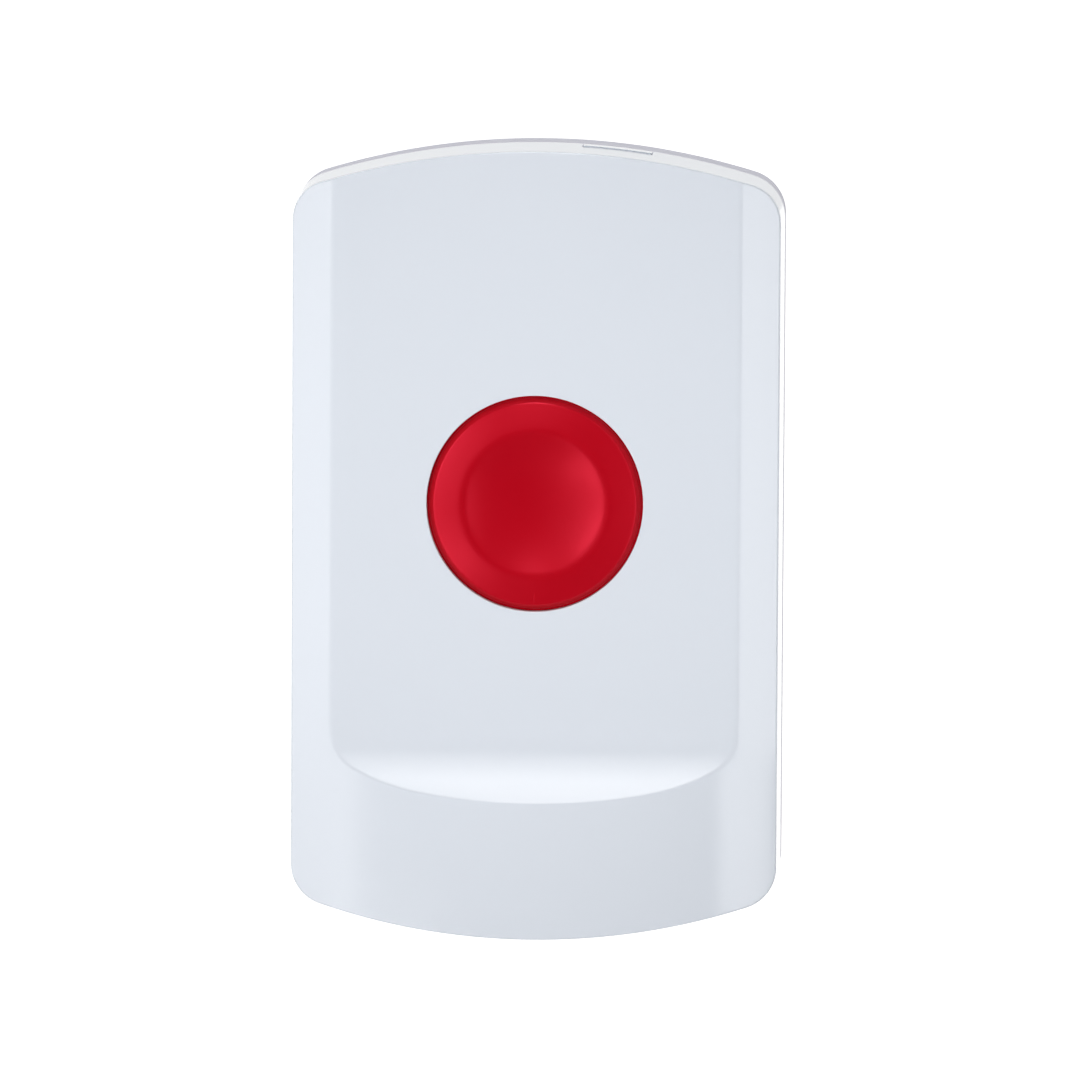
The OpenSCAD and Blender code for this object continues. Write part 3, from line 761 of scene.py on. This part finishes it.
def cut_front(bm, layer, keep, offsets, axis):
    """Adds edges across the front skin along lines at these offsets, where keep allows."""
    for offset in offsets:
        faces = [f for f in bm.faces if all(v[layer] > ON_SKIN and keep(v.co) for v in f.verts)]
        edges = {e for f in faces for e in f.edges}
        verts = {v for f in faces for v in f.verts}
        bmesh.ops.bisect_plane(bm, geom=[*faces, *edges, *verts], dist=1e-4,
                               plane_co=axis * offset, plane_no=axis)


def build_cover():
    """Front cover, with extra edges along the creases of its front so that they keep their form."""
    shape = Shape()
    skin = cover_skin(shape)
    cover_fittings(shape)
    bm = shape.bmesh()
    layer = bm.verts.layers.float.new("front")
    bm.verts.ensure_lookup_table()
    for i in skin:
        bm.verts[i][layer] = 1
    half = PANEL_W / 2
    creases = [side * (half + d) for side in (-1, 1) for d in PANEL_LINES]
    cut_front(bm, layer, lambda p: abs(p.x) > half - PANEL_REACH and p.y > RAMP_Y - PANEL_FOOT,
              creases, Vector((1, 0, 0)))
    for v in bm.verts:
        v.co.y -= lip_y(v.co.x)
    cut_front(bm, layer, lambda p: abs(p.x) < half - LIP_TRIM and abs(p.y) < LIP_REACH,
              LIP_LINES, Vector((0, 1, 0)))
    for v in bm.verts:
        v.co.y += lip_y(v.co.x)
    bm.verts.index_update()
    facing = {}
    for v in bm.verts:
        if v[layer] > ON_SKIN:
            v.co.z = front_height(v.co.x, v.co.y)
            facing[v.index] = front_normal(v.co.x, v.co.y)
    mesh = mesh_from(bm, "cover_shell")
    made = [normal.vector.copy() for normal in mesh.corner_normals]
    mesh.normals_split_custom_set([facing.get(c.vertex_index, made[c.index]) for c in mesh.loops])
    piece("cover_shell", mesh, "gloss_white", "front_cover")


# Rear base and latch

def base_lip(shape):
    """Locating lip on the base's rim, open at the latch and the hinge tabs."""
    root = BASE_D - LIP_ROOT
    step = BASE_D - LIP_STEP
    top = BASE_D + LIP_H
    buried = WALL - LIP_CHAMFER
    profile = [(buried, root), (buried, step), (LIP_INSET, step), (LIP_INSET, top - LIP_CHAMFER),
               (LIP_INSET + LIP_CHAMFER, top), (LIP_INSET + LIP_T, top), (LIP_INSET + LIP_T, root)]
    gaps = [(1, LATCH_ZONE), *((-1, zone) for zone in TAB_ZONES)]

    def in_gap(station, inner=1e-4):
        return any(within(station, sy, low + inner, high - inner) for sy, (low, high) in gaps)

    first = next(i for i, s in enumerate(STATIONS) if in_gap(s))
    for gap, run in itertools.groupby(STATIONS[first:] + STATIONS[:first], in_gap):
        if not gap:
            shape.sweep(run, profile)


def build_base():
    """Rear half of the case: plate, drafted wall, locating lip and wall screw seats."""
    shape = Shape()
    nudge = 0.1
    out = BASE_INSET
    back = bezier((out + BACK_ROUND, 0), (out, 0), (out, BACK_ROUND), 5)
    rim = [(out, BACK_ROUND + nudge), (out, BASE_D - RIM_ROUND), (out + RIM_ROUND, BASE_D), (WALL, BASE_D)]
    fillet = [(WALL, PLATE_T + FILLET), (WALL + nudge, PLATE_T + nudge), (WALL + FILLET, PLATE_T)]
    rings = [shape.level(inset, z) for inset, z in [*back, *rim, *fillet]]
    shape.bridge_all(rings)
    top = PLATE_T + SEAT_H
    cut = 0.15
    seat = [(SEAT_R, PLATE_T), (SEAT_R, top - cut), (SEAT_R - cut, top), (WALL_HOLE_R + cut, top),
            (WALL_HOLE_R, top - cut), (WALL_HOLE_R, BACK_CHAMFER), (WALL_HOLE_R + BACK_CHAMFER, 0)]
    holes = [shape.turned(seat, (0, side * SEAT_Y)) for side in (-1, 1)]
    r = TAMPER_HOLE_R
    bore = [(r + cut, PLATE_T), (r, PLATE_T - cut), (r, cut), (r + cut, 0)]
    holes.append(shape.turned(bore, TAMPER_SPOT))
    shape.lid(rings[0], *[hole[-1] for hole in holes])
    shape.lid(rings[-1], *[hole[0] for hole in holes])
    base_lip(shape)
    make(shape, "base_shell", "base_white", "rear_base", "base")


def build_latch():
    """Latch tongue: an arm that stands on the base, and a head that fills the cover's notch."""
    shape = Shape()
    arm = LATCH_IN + LATCH_ARM
    places = end_places(1, NOTCH[0] + LATCH_SIDE_GAP, NOTCH[1] - LATCH_SIDE_GAP, 10)
    shape.sweep(places, [(0, LATCH_Z), (-LATCH_PROUD, LATCH_TOP), (arm, LATCH_TOP), (arm, LATCH_ROOT_Z),
                         (LATCH_IN, LATCH_ROOT_Z), (LATCH_IN, LATCH_Z)])
    soften(make(shape, "latch_tongue", "gloss_white", "release_latch", "latch"), width=0.04)


# Button

def cap_top(r):
    """Height of the cap's top at a radius: a dish, a soft crest and a falling outer ring."""
    ball = (DISH_R ** 2 + DISH_DEPTH ** 2) / (2 * DISH_DEPTH)
    dish = CREST_Z - DISH_DEPTH + ball - math.sqrt(ball ** 2 - r * r)
    fall = (CAP_R ** 2 - DISH_R ** 2) / (2 * RING_FALL)
    ring = CREST_Z - (r * r - DISH_R ** 2) / (2 * fall)
    return soft_min(dish, ring, CREST_BLEND)


def gate_mark(shape, r, bury=0.1, steps=4):
    """Fine moulding line at the foot of the cap's ring, inwards from a radius."""
    half = GATE_W / 2
    profile = [(-half, -bury), (-half, 0), (0, GATE_H), (half, 0), (half, -bury)]
    rings = []
    for i in range(steps + 1):
        y = r - GATE_L + GATE_L * i / steps
        rings.append(shape.ring([(x, CAP_Y - y, cap_top(y) + dz) for x, dz in profile]))
    shape.bar(rings)


def build_cap():
    """Red cap, turned about its axis, with its skirt, flange, spigot and stem."""
    web_z = CREST_Z - DISH_DEPTH - CAP_WEB
    flange_top = COLLAR_Z - FLANGE_GAP
    flange_low = flange_top - FLANGE_T
    skirt_r = CAP_R - CAP_WALL
    rim_r = CAP_R - CAP_PLAY
    edge_r = rim_r - CAP_EDGE

    # Wide rows over the dish, close ones over its crest
    radii = [0.6 * i for i in range(11)]
    radii += [6.3, 6.6, 6.9, 7.2, 7.5, 7.8, 8.1, 8.4, 8.7, 9.1, 9.6, 10.2, edge_r - 2 * CAP_ROUND]
    top = [(r, cap_top(r)) for r in radii]

    # Bevelled edge, rounded at both ends of the bevel
    crease = (edge_r, cap_top(edge_r))
    foot = (rim_r, cap_top(rim_r) - CAP_EDGE)
    edge = bezier((edge_r - CAP_ROUND, cap_top(edge_r - CAP_ROUND)), crease, between(crease, foot, 0.2), 5)
    edge += bezier(between(crease, foot, 0.7), foot, (rim_r, foot[1] - CAP_ROUND), 4)
    step_r = CAP_R + CAP_STEP
    skirt = [(step_r, foot[1] - CAP_ROUND - CAP_STEP), (step_r, flange_top), (FLANGE_R, flange_top),
             (FLANGE_R, flange_low), (skirt_r, flange_low), (skirt_r, web_z)]
    spigot_z = web_z - SPIGOT_H
    spigot = [(SPIGOT_R[0], web_z), (SPIGOT_R[0], spigot_z), (SPIGOT_R[1], spigot_z), (SPIGOT_R[1], web_z)]
    stem = [(STEM_R, web_z), (STEM_R, STEM_Z), (0, STEM_Z)]
    shape = Shape()
    shape.lathe([*top, *edge, *skirt, *spigot, *stem], (0, CAP_Y), 128)
    gate_mark(shape, edge_r - GATE_GAP)
    make(shape, "red_cap", "button_red", "button_cap", "button", sharp=20)


# Wound wire

def winding(r, turns, start, end, per_turn):
    """Points of a helix, as two places across its axis and one along it."""
    count = round(turns * per_turn)
    turn = 2 * math.pi / per_turn
    rise = (end - start) / count
    return [(r * math.cos(i * turn), r * math.sin(i * turn), start + i * rise) for i in range(count + 1)]


def build_spring():
    """Return spring between the board and the cap, made at its rest length; it is not shortened here as the cap
    goes in.
    """
    low, high = case_box("button_spring")
    r = 0.35
    coil = winding(high.x - r, SPRING_TURNS, low.z + r, high.z - r, 32)
    shape = Shape()
    shape.tube([Vector((x, CAP_Y + y, z)) for x, y, z in coil], r)
    made = make(shape, "return_spring", "spring_steel", "button_spring")
    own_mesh(made)


def build_antenna():
    """Wound antenna along the board's lower end, with a lead down to the board at each side."""
    low, high = case_box("antenna_coil")
    wire_r = 0.3
    mean_r = (high.y - low.y) / 2 - wire_r
    middle_y = (low.y + high.y) / 2
    middle_z = high.z - wire_r - mean_r
    coil = winding(mean_r, ANTENNA_TURNS, low.x + wire_r, high.x - wire_r, 28)
    path = [Vector((x, middle_y + y, middle_z + z)) for y, z, x in coil]
    half_way = (BOARD_FRONT_Z + middle_z) / 2
    first = [Vector((*path[0].xy, z)) for z in (BOARD_FRONT_Z, half_way)]
    last = [Vector((*path[-1].xy, z)) for z in (half_way, BOARD_FRONT_Z)]
    shape = Shape()
    shape.tube([*first, *path, *last], wire_r)
    make(shape, "antenna_wire", "gold_metal", "antenna_coil")


# Board and what is on its back

def rounded_block(shape, centre, w, h, corner_r, rows, steps=6, least=0.05):
    """Walls of a block with round corners, through rows of (inset, z). Returns its rings."""
    rings = []
    for inset, z in rows:
        r = max(corner_r - inset, least)
        points = []
        for quarter, (sx, sy) in enumerate(((1, 1), (-1, 1), (-1, -1), (1, -1))):
            x = centre[0] + sx * (w / 2 - inset - r)
            y = centre[1] + sy * (h / 2 - inset - r)
            turns = [(quarter + i / steps) * math.pi / 2 for i in range(steps + 1)]
            points += [(x + r * math.cos(t), y + r * math.sin(t), z) for t in turns]
        rings.append(shape.ring(points))
    shape.bridge_all(rings)
    return rings


def build_board():
    """Circuit board with its screw holes."""
    low, high = BOARD_LOW, BOARD_HIGH
    cut = 0.08
    shape = Shape()
    rings = rounded_block(shape, (0, 0), high.x - low.x, high.y - low.y, BOARD_CORNER_R,
                          [(cut, low.z), (0, low.z + cut), (0, high.z - cut), (cut, high.z)])
    wall = [(SCREW_HOLE_R, low.z), (SCREW_HOLE_R, high.z)]
    holes = [shape.turned(wall, spot, 32) for spot in SCREW_SPOTS]
    shape.lid(rings[0], *[hole[0] for hole in holes])
    shape.lid(rings[-1], *[hole[1] for hole in holes])
    make(shape, "board_panel", "board_green", "circuit_board")


def pad_runs():
    """Runs from the row of test pads, in lanes round the cell to the board's right side."""
    runs = []
    for k in range(PAD_COUNT):
        lane = LANE * (PAD_COUNT - k)
        x = PAD_X + PAD_PITCH * k
        foot = PAD_Y - RUN_BEND - lane
        side = LANE_X + lane
        runs.append([(x, PAD_Y), (x, foot + RUN_BEND), (x + RUN_BEND, foot), (side - RUN_BEND, foot),
                     (side, foot + RUN_BEND), (side, LANE_TOP + PAD_PITCH * k)])
    return runs


def part_runs():
    """Runs from the tamper switch and the antenna."""
    left_low, left_high, right_low, right_high = LEG_SPOTS
    inner = -19.4
    outer = inner - 1.2
    runs = [[right_low, (-6, right_low[1]), (-3, right_low[1] + 3), (-3, 27)],
            [right_high, (-8, right_high[1]), (-5.5, right_high[1] + 2.5), (-5.5, 29)],
            [left_low, (inner, left_low[1] - 1.9), (inner, -14), (inner + 3, -17), (inner + 3, -22)],
            [left_high, (outer, left_high[1] - 3.1), (outer, -20), (outer + 1.8, -21.8), (outer + 1.8, -24)]]
    for x, y in ANTENNA_SPOTS:
        side = math.copysign(1, x)
        runs.append([(x, y), (x + side * 1.5, y + 1.5), (x + side * 6, y + 1.5)])
    return runs


def ribbon(shape, path, width, low, high):
    """Flat strip along a path of (x, y) points, with mitred bends."""
    spots = [Vector(p) for p in path]
    headings = [(b - a).normalized() for a, b in zip(spots, spots[1:])]
    rings = []
    for i, p in enumerate(spots):
        before = headings[max(i - 1, 0)]
        after = headings[min(i, len(headings) - 1)]
        across = (before + after).normalized().orthogonal()
        reach = across * (width / 2 / across.dot(after.orthogonal()))
        corners = ((p + reach, low), (p + reach, high), (p - reach, high), (p - reach, low))
        rings.append(shape.ring([(*spot, z) for spot, z in corners]))
    shape.bar(rings)


def build_runs():
    """Copper runs under the lacquer on the board's back, with their vias and test pads."""
    sunk = BOARD_BACK_Z + COPPER_EDGE
    top = BOARD_BACK_Z - RUN_T
    face = top - COPPER_EDGE
    clip_y = CLIP_HIGH.y
    supply = [(0, clip_y - CLIP_FOOT_L / 2), (0, clip_y + 3), (5, clip_y + 8), (5, clip_y + 14)]
    signals = [*pad_runs(), *part_runs()]
    shape = Shape()
    ribbon(shape, supply, 3 * RUN_W, sunk, top)
    for run in signals:
        ribbon(shape, run, RUN_W, sunk, top)
    make(shape, "board_runs", "board_green", look="board_runs")
    shape = Shape()
    bore, rim = VIA_R
    for run in [*signals, supply]:
        shape.lathe([(bore, sunk), (rim, sunk), (rim, face), (bore, face)], run[-1], 20, loop=True)
    for run in pad_runs():
        shape.lathe([(0, sunk), (PAD_R, sunk), (PAD_R, top), (PAD_R - 0.04, face), (0, face)], run[0], 28)
    make(shape, "board_pads", "gold_metal")


def build_solder():
    """Solder joints of the tamper switch, the antenna and the clip's foot."""
    feet = [(side * (CLIP_HIGH.x - 1), CLIP_HIGH.y) for side in (-1, 1)]
    back = BOARD_BACK_Z
    sunk = back + 0.02
    edge = back - 0.03
    tip = back - 0.85
    crown = back - 0.4
    cone_r = 0.95
    dome_r = 0.8
    slope = bezier((cone_r, edge), (0.4, back - 0.15), (0.3, tip + 0.05), 6)
    cone = [(0, sunk), (cone_r, sunk), *slope, (0, tip)]
    dome = [(0, sunk), (dome_r, sunk), *bezier((dome_r, edge), (0.6, crown), (0, crown), 6)]
    shape = Shape()
    for spot in ANTENNA_SPOTS:
        shape.lathe(cone, spot, 28)
    for spot in [*LEG_SPOTS, *feet]:
        shape.lathe(dome, spot, 28)
    make(shape, "solder_joints", "tinned_metal", sharp=60)


def build_cell():
    """Coin cell: a rounded can that faces the wall, its crimped edge and the stepped cap."""
    low, high = case_box("coin_cell")
    r = high.x
    groove_z = low.z + 0.05
    can_round = 0.6
    face = [(0, low.z), (7.7, low.z), (7.8, groove_z), (8.1, groove_z), (8.2, low.z)]
    can = bezier((r - can_round, low.z), (r, low.z), (r, low.z + can_round), 6)
    crimp_z = high.z - 0.35
    crimp = bezier((r, crimp_z - 0.45), (r, crimp_z), (r - 0.7, crimp_z), 6)
    seal_z = crimp_z - 0.15
    cap_r = r - 1.3
    cap = [(r - 1, crimp_z), (r - 1.05, seal_z), (cap_r + 0.05, seal_z), (cap_r, high.z - 0.1),
           (cap_r - 0.1, high.z), (0, high.z)]
    shape = Shape()
    shape.lathe([*face, *can, *crimp, *cap])
    make(shape, "cell_can", "cell_steel", "coin_cell")


def stamping(shape, path, across, t, keep):
    """Bent sheet of thickness t along a path of (y, z) points, cut across at these x.
    keep says which of its cells are metal."""
    made = {}

    def corner(i, j, face):
        if (i, j, face) not in made:
            heading = Vector(path[min(i + 1, len(path) - 1)]) - Vector(path[max(i - 1, 0)])
            y, z = Vector(path[i]) + heading.normalized().orthogonal() * (face * t / 2)
            made[i, j, face] = shape.ring([(across[j], y, z)])[0]
        return made[i, j, face]

    def solid(i, j):
        return 0 <= i < len(path) - 1 and 0 <= j < len(across) - 1 and keep(i, j)

    for i in range(len(path) - 1):
        for j in range(len(across) - 1):
            if not solid(i, j):
                continue
            cell = [(i, j), (i + 1, j), (i + 1, j + 1), (i, j + 1)]
            for face in (-1, 1):
                shape.faces.append(tuple(corner(*spot, face) for spot in cell))
            for k, near in enumerate([(i, j - 1), (i + 1, j), (i, j + 1), (i - 1, j)]):
                if not solid(*near):
                    p, q = cell[k], cell[(k + 1) % 4]
                    shape.faces.append((corner(*p, -1), corner(*q, -1), corner(*q, 1), corner(*p, 1)))


def build_clip():
    """Positive clip: a forked arm over the cell, a riser beside the holder and a soldered foot."""
    low, high = case_box("battery_positive_clip")
    bend = 0.5
    arm_z = low.z + CLIP_T / 2
    riser_y = high.y - CLIP_FOOT_L + CLIP_T / 2
    foot_z = high.z - CLIP_T / 2
    tip = bezier((low.y, arm_z - 0.35), (low.y + 0.5, arm_z), (low.y + 1.2, arm_z), 5)
    bends = bezier((riser_y - bend, arm_z), (riser_y, arm_z), (riser_y, arm_z + bend), 6)
    bends += bezier((riser_y, foot_z - bend), (riser_y, foot_z), (riser_y + bend, foot_z), 6)
    fork = (riser_y - FORK_ROOT, arm_z)
    path = [*tip, fork, *bends, (high.y, foot_z)]
    fork_end = path.index(fork)
    across = (low.x, -FORK_HALF, FORK_HALF, high.x)
    shape = Shape()
    stamping(shape, path, across, CLIP_T, lambda i, j: j != 1 or i >= fork_end)
    soften(make(shape, "cell_clip", "gold_metal", "battery_positive_clip"), width=0.03)


def tamper_housing():
    """Housing of the tamper switch, with a collar round its bore and four rivets."""
    low, high = case_box("tamper_switch_body")
    size = high.x - low.x
    face = low.z
    shape = Shape()
    rows = [(0, high.z), (0, face + 0.3), (0.1, face + 0.08), (0.3, face)]
    rings = rounded_block(shape, TAMPER_SPOT, size, size, 0.5, rows)
    cut = 0.08
    rim = face - COLLAR_H
    bore_r = TAMPER_ROD_R + TAMPER_PLAY
    collar = [(COLLAR_OUT, face), (COLLAR_OUT, rim + cut), (COLLAR_OUT - cut, rim), (bore_r + cut, rim),
              (bore_r, rim + cut), (bore_r, TAMPER_HIGH.z + TAMPER_PLAY)]
    circles = shape.turned(collar, TAMPER_SPOT, 40)
    shape.lid(rings[-1], circles[0])
    shape.lid(rings[0])
    shape.lid(circles[-1])
    head = face - RIVET_H
    dome = bezier((RIVET_R, face - 0.03), (RIVET_R, head), (0, head), 5)
    reach = size / 2 - RIVET_INSET
    for spot in four_spots(TAMPER_SPOT, reach, reach):
        shape.lathe([(0, face + 0.05), (RIVET_R, face + 0.05), *dome], spot, 24)
    make(shape, "tamper_housing", "dark_plastic", "tamper_switch_body")


def tamper_pin():
    """Stepped pin of the tamper switch, which rests on the wall."""
    low, high = TAMPER_LOW.z, TAMPER_HIGH.z
    r = (TAMPER_HIGH.x - TAMPER_LOW.x) / 2
    foot = low + TAMPER_FOOT_H
    nose, edge, root, cut = 0.5, 0.15, 0.3, 0.1
    rod_r = TAMPER_ROD_R
    profile = [(0, low), *bezier((r - nose, low), (r, low), (r, low + nose), 6)]
    profile += bezier((r, foot - edge), (r, foot), (r - edge, foot), 3)
    profile += bezier((rod_r + root, foot), (rod_r, foot), (rod_r, foot + root), 4)
    profile += [(rod_r, high - cut), (rod_r - cut, high), (0, high)]
    shape = Shape()
    shape.lathe(profile, TAMPER_SPOT, 48)
    make(shape, "tamper_pin", "plunger_white", "tamper_plunger", "tamper_plunger")


# Widths of the soft edges of the nodes that keep their shape
EDGE = 0.08
WIDER_EDGES = {"battery_holder": 0.25, "board_screws": 0.15}


def dress_nodes():
    """Gives each node of the frame that still shows its finish and soft edges."""
    for part in frame["record"]["subparts"]:
        made = frame["nodes"][part["node"]]
        slot = part["material_slot"]
        if not made.hide_render:
            made.data.materials.clear()
            made.data.materials.append(MATERIALS[slot])
            soften(made, WIDER_EDGES.get(part["node"], EDGE))


# Studio, with angles in degrees, the camera's places in millimetres and the rest in metres
CAMERA_AZIMUTH = 2.114
CAMERA_ELEVATION = 5.995
CAMERA_ROLL = math.radians(0.298)
CAMERA_DISTANCE = 1200
CAMERA_LENS = 365.18
CAMERA_SENSOR = 36
CAMERA_TARGET = Vector((0.34, -10, -0.071))
WHITE = (1, 1, 1)

# Glow of the world from behind the camera to behind the case
WORLD_Y = (-0.3, 0.7)
WORLD_GLOW = (0.14, 1)

# The floor's colour as it lights the case and as it is seen,
# and its glow in gloss, which rises from the near end to the far one
FLOOR_Z = -0.16
FLOOR_REACH = 6
FLOOR_LIT = (0.85, 0.85, 0.85)
FLOOR_SEEN = (0.25, 0.25, 0.25)
FLOOR_GLOW = (0.6, 1.15)
FLOOR_GLOW_Y = (0.2, 0.6)

# Dark card in front of the case
FLAG_HALF_W = 0.18
FLAG_Y = (-0.36, -0.08)
FLAG_Z = (-0.155, 0.075)
FLAG_COLOUR = (0.01, 0.01, 0.01)


def away(azimuth, elevation):
    """Direction out from the case at angles in degrees; azimuth 0 is straight in front."""
    a, e = math.radians(azimuth), math.radians(elevation)
    return Vector((math.sin(a) * math.cos(e), -math.cos(a) * math.cos(e), math.sin(e)))


def build_camera():
    """Camera at the photograph's angle."""
    back = away(CAMERA_AZIMUTH, CAMERA_ELEVATION)
    turn = back.to_track_quat("Z", "Y").to_matrix().to_4x4() @ Matrix.Rotation(CAMERA_ROLL, 4, "Z")
    data = bpy.data.cameras.new("camera")
    data.sensor_width = CAMERA_SENSOR
    data.lens = CAMERA_LENS
    data.clip_start = 0.01
    data.clip_end = 50
    camera = add_object("camera", data)
    camera.matrix_world = Matrix.Translation((CAMERA_TARGET + CAMERA_DISTANCE * back) * MM) @ turn
    bpy.context.scene.camera = camera


def fade_in(data, share):
    """Lets a lamp's glow rise from nothing at its lower edge to full over a share of its height."""
    graph = Graph(data)
    height = graph.add("SeparateXYZ", {"Vector": graph.add("NewGeometry")["Parametric"]})["Y"]
    graph.set(graph.nodes["Emission"], {"Strength": graph.remap(height, (0, share), (0, 1))})


def softbox(name, azimuth, elevation, width, height, glow, distance=0.6, in_gloss=True, fade=0):
    """Soft lamp of a given glow that faces the middle of the case."""
    data = bpy.data.lights.new(name, "AREA")
    data.shape = "RECTANGLE"
    data.size = width
    data.size_y = height
    data.energy = glow * math.pi * width * height
    if fade:
        fade_in(data, fade)
    lamp = add_object(name, data)
    towards = away(azimuth, elevation)
    lamp.location = towards * distance
    lamp.rotation_euler = towards.to_track_quat("Z", "Y").to_euler()
    lamp.visible_camera = False
    lamp.visible_glossy = in_gloss


def front_pool(distance, radius, narrow, glow):
    """Pool of light on the middle of the front, which fades out at a radius and is narrower across."""
    data = bpy.data.lights.new("front_pool", "SPOT")
    data.spot_size = 2 * math.atan2(radius, distance)
    data.spot_blend = 1
    data.shadow_soft_size = 0.05
    data.energy = glow * 4 * math.pi ** 2 * distance ** 2
    lamp = add_object("front_pool", data)
    lamp.location = (0, -distance, CAP_Y * MM)
    lamp.rotation_euler = (math.pi / 2, 0, 0)
    lamp.scale = (narrow, 1, 1)
    lamp.visible_camera = lamp.visible_glossy = False


def build_world():
    """White to the camera and, behind the object, in gloss and glass; darker behind the camera."""
    world = bpy.data.worlds.new("studio")
    bpy.context.scene.world = world
    graph = Graph(world)
    along = graph.add("SeparateXYZ", {"Vector": graph.add("TexCoord")["Generated"]})["Y"]
    path = graph.add("LightPath")
    mirrored = graph.maths("MULTIPLY", path["Is Glossy Ray"], graph.maths("GREATER_THAN", along, 0))
    white = graph.highest(path["Is Camera Ray"], path["Is Transmission Ray"], mirrored)
    glow = graph.remap(along, WORLD_Y, WORLD_GLOW)
    strength = graph.add("Mix", {"Factor": white, "A": glow, "B": 1})["Result"]
    graph.set(graph.nodes["Background"], {"Color": WHITE, "Strength": strength})


def add_card(name, points, faces):
    """Flat sheet of the studio. Returns it, with its material's graph and shader."""
    mesh = bpy.data.meshes.new(name)
    mesh.from_pydata(points, [], faces)
    graph, shader = new_material(name)
    mesh.materials.append(MATERIALS[name])
    return add_object(name, mesh), graph, shader


def build_floor():
    """Pale floor below the case, white to the camera.
    It is clear from below, so that it never hides the case."""
    corners = ((-1, -1), (1, -1), (1, 1), (-1, 1))
    points = [(sx * FLOOR_REACH, sy * FLOOR_REACH, FLOOR_Z) for sx, sy in corners]
    floor, graph, shader = add_card("floor", points, [(0, 1, 2, 3)])
    path = graph.add("LightPath")
    indirect = graph.highest(path["Is Glossy Ray"], path["Is Transmission Ray"])
    spot = graph.add("NewGeometry")
    along = graph.add("SeparateXYZ", {"Vector": spot["Position"]})["Y"]
    mirrored = graph.maths("MULTIPLY", indirect, graph.remap(along, FLOOR_GLOW_Y, FLOOR_GLOW))
    seen = graph.highest(path["Is Camera Ray"], indirect)
    graph.set(shader, {"Base Color": graph.mix(seen, FLOOR_LIT, FLOOR_SEEN), "Roughness": 0.9,
                       "Emission Color": WHITE,
                       "Emission Strength": graph.highest(path["Is Camera Ray"], mirrored)})
    clear = graph.add("BsdfTransparent")["BSDF"]
    either = graph.add("MixShader", {"Fac": spot["Backfacing"], 1: shader.outputs["BSDF"], 2: clear})
    graph.set(graph.nodes["Material Output"], {"Surface": either["Shader"]})


def build_flag():
    """Dark card in front of the case, seen only in its gloss, as the unlit side of the studio."""
    far, near = FLAG_Y
    low, high = FLAG_Z
    profile = [(far, high), (far, low), (near, low)]
    points = [(x, y, z) for y, z in profile for x in (-FLAG_HALF_W, FLAG_HALF_W)]
    flag, graph, shader = add_card("flag", points, [(0, 1, 3, 2), (2, 3, 5, 4)])
    graph.set(shader, {"Base Color": FLAG_COLOUR, "Roughness": 1, "Specular IOR Level": 0})
    flag.visible_camera = flag.visible_diffuse = flag.visible_shadow = False


build_cover()
build_base()
build_latch()
build_cap()
build_spring()
build_antenna()
build_board()
build_runs()
build_solder()
build_cell()
build_clip()
tamper_housing()
tamper_pin()
dress_nodes()

build_camera()
softbox("left_softbox", azimuth=-46, elevation=4, width=0.36, height=0.44, glow=1.3)
softbox("key_softbox", azimuth=-26, elevation=7.5, width=0.14, height=0.15, glow=6.4)
softbox("low_softbox", azimuth=-26, elevation=-18, width=0.12, height=0.036, glow=4.2, distance=0.35)
softbox("right_softbox", azimuth=33, elevation=9, width=0.115, height=0.56, glow=2.1)
softbox("top_softbox", azimuth=-2, elevation=43.5, width=0.085, height=0.735, glow=6, fade=0.5)
softbox("ceiling_softbox", azimuth=0, elevation=82, width=0.4, height=0.3, glow=0.8, in_gloss=False)
front_pool(distance=0.9, radius=0.044, narrow=0.7, glow=0.54)
build_world()
build_floor()
build_flag()
bpy.context.scene.view_settings.view_transform = "Standard"
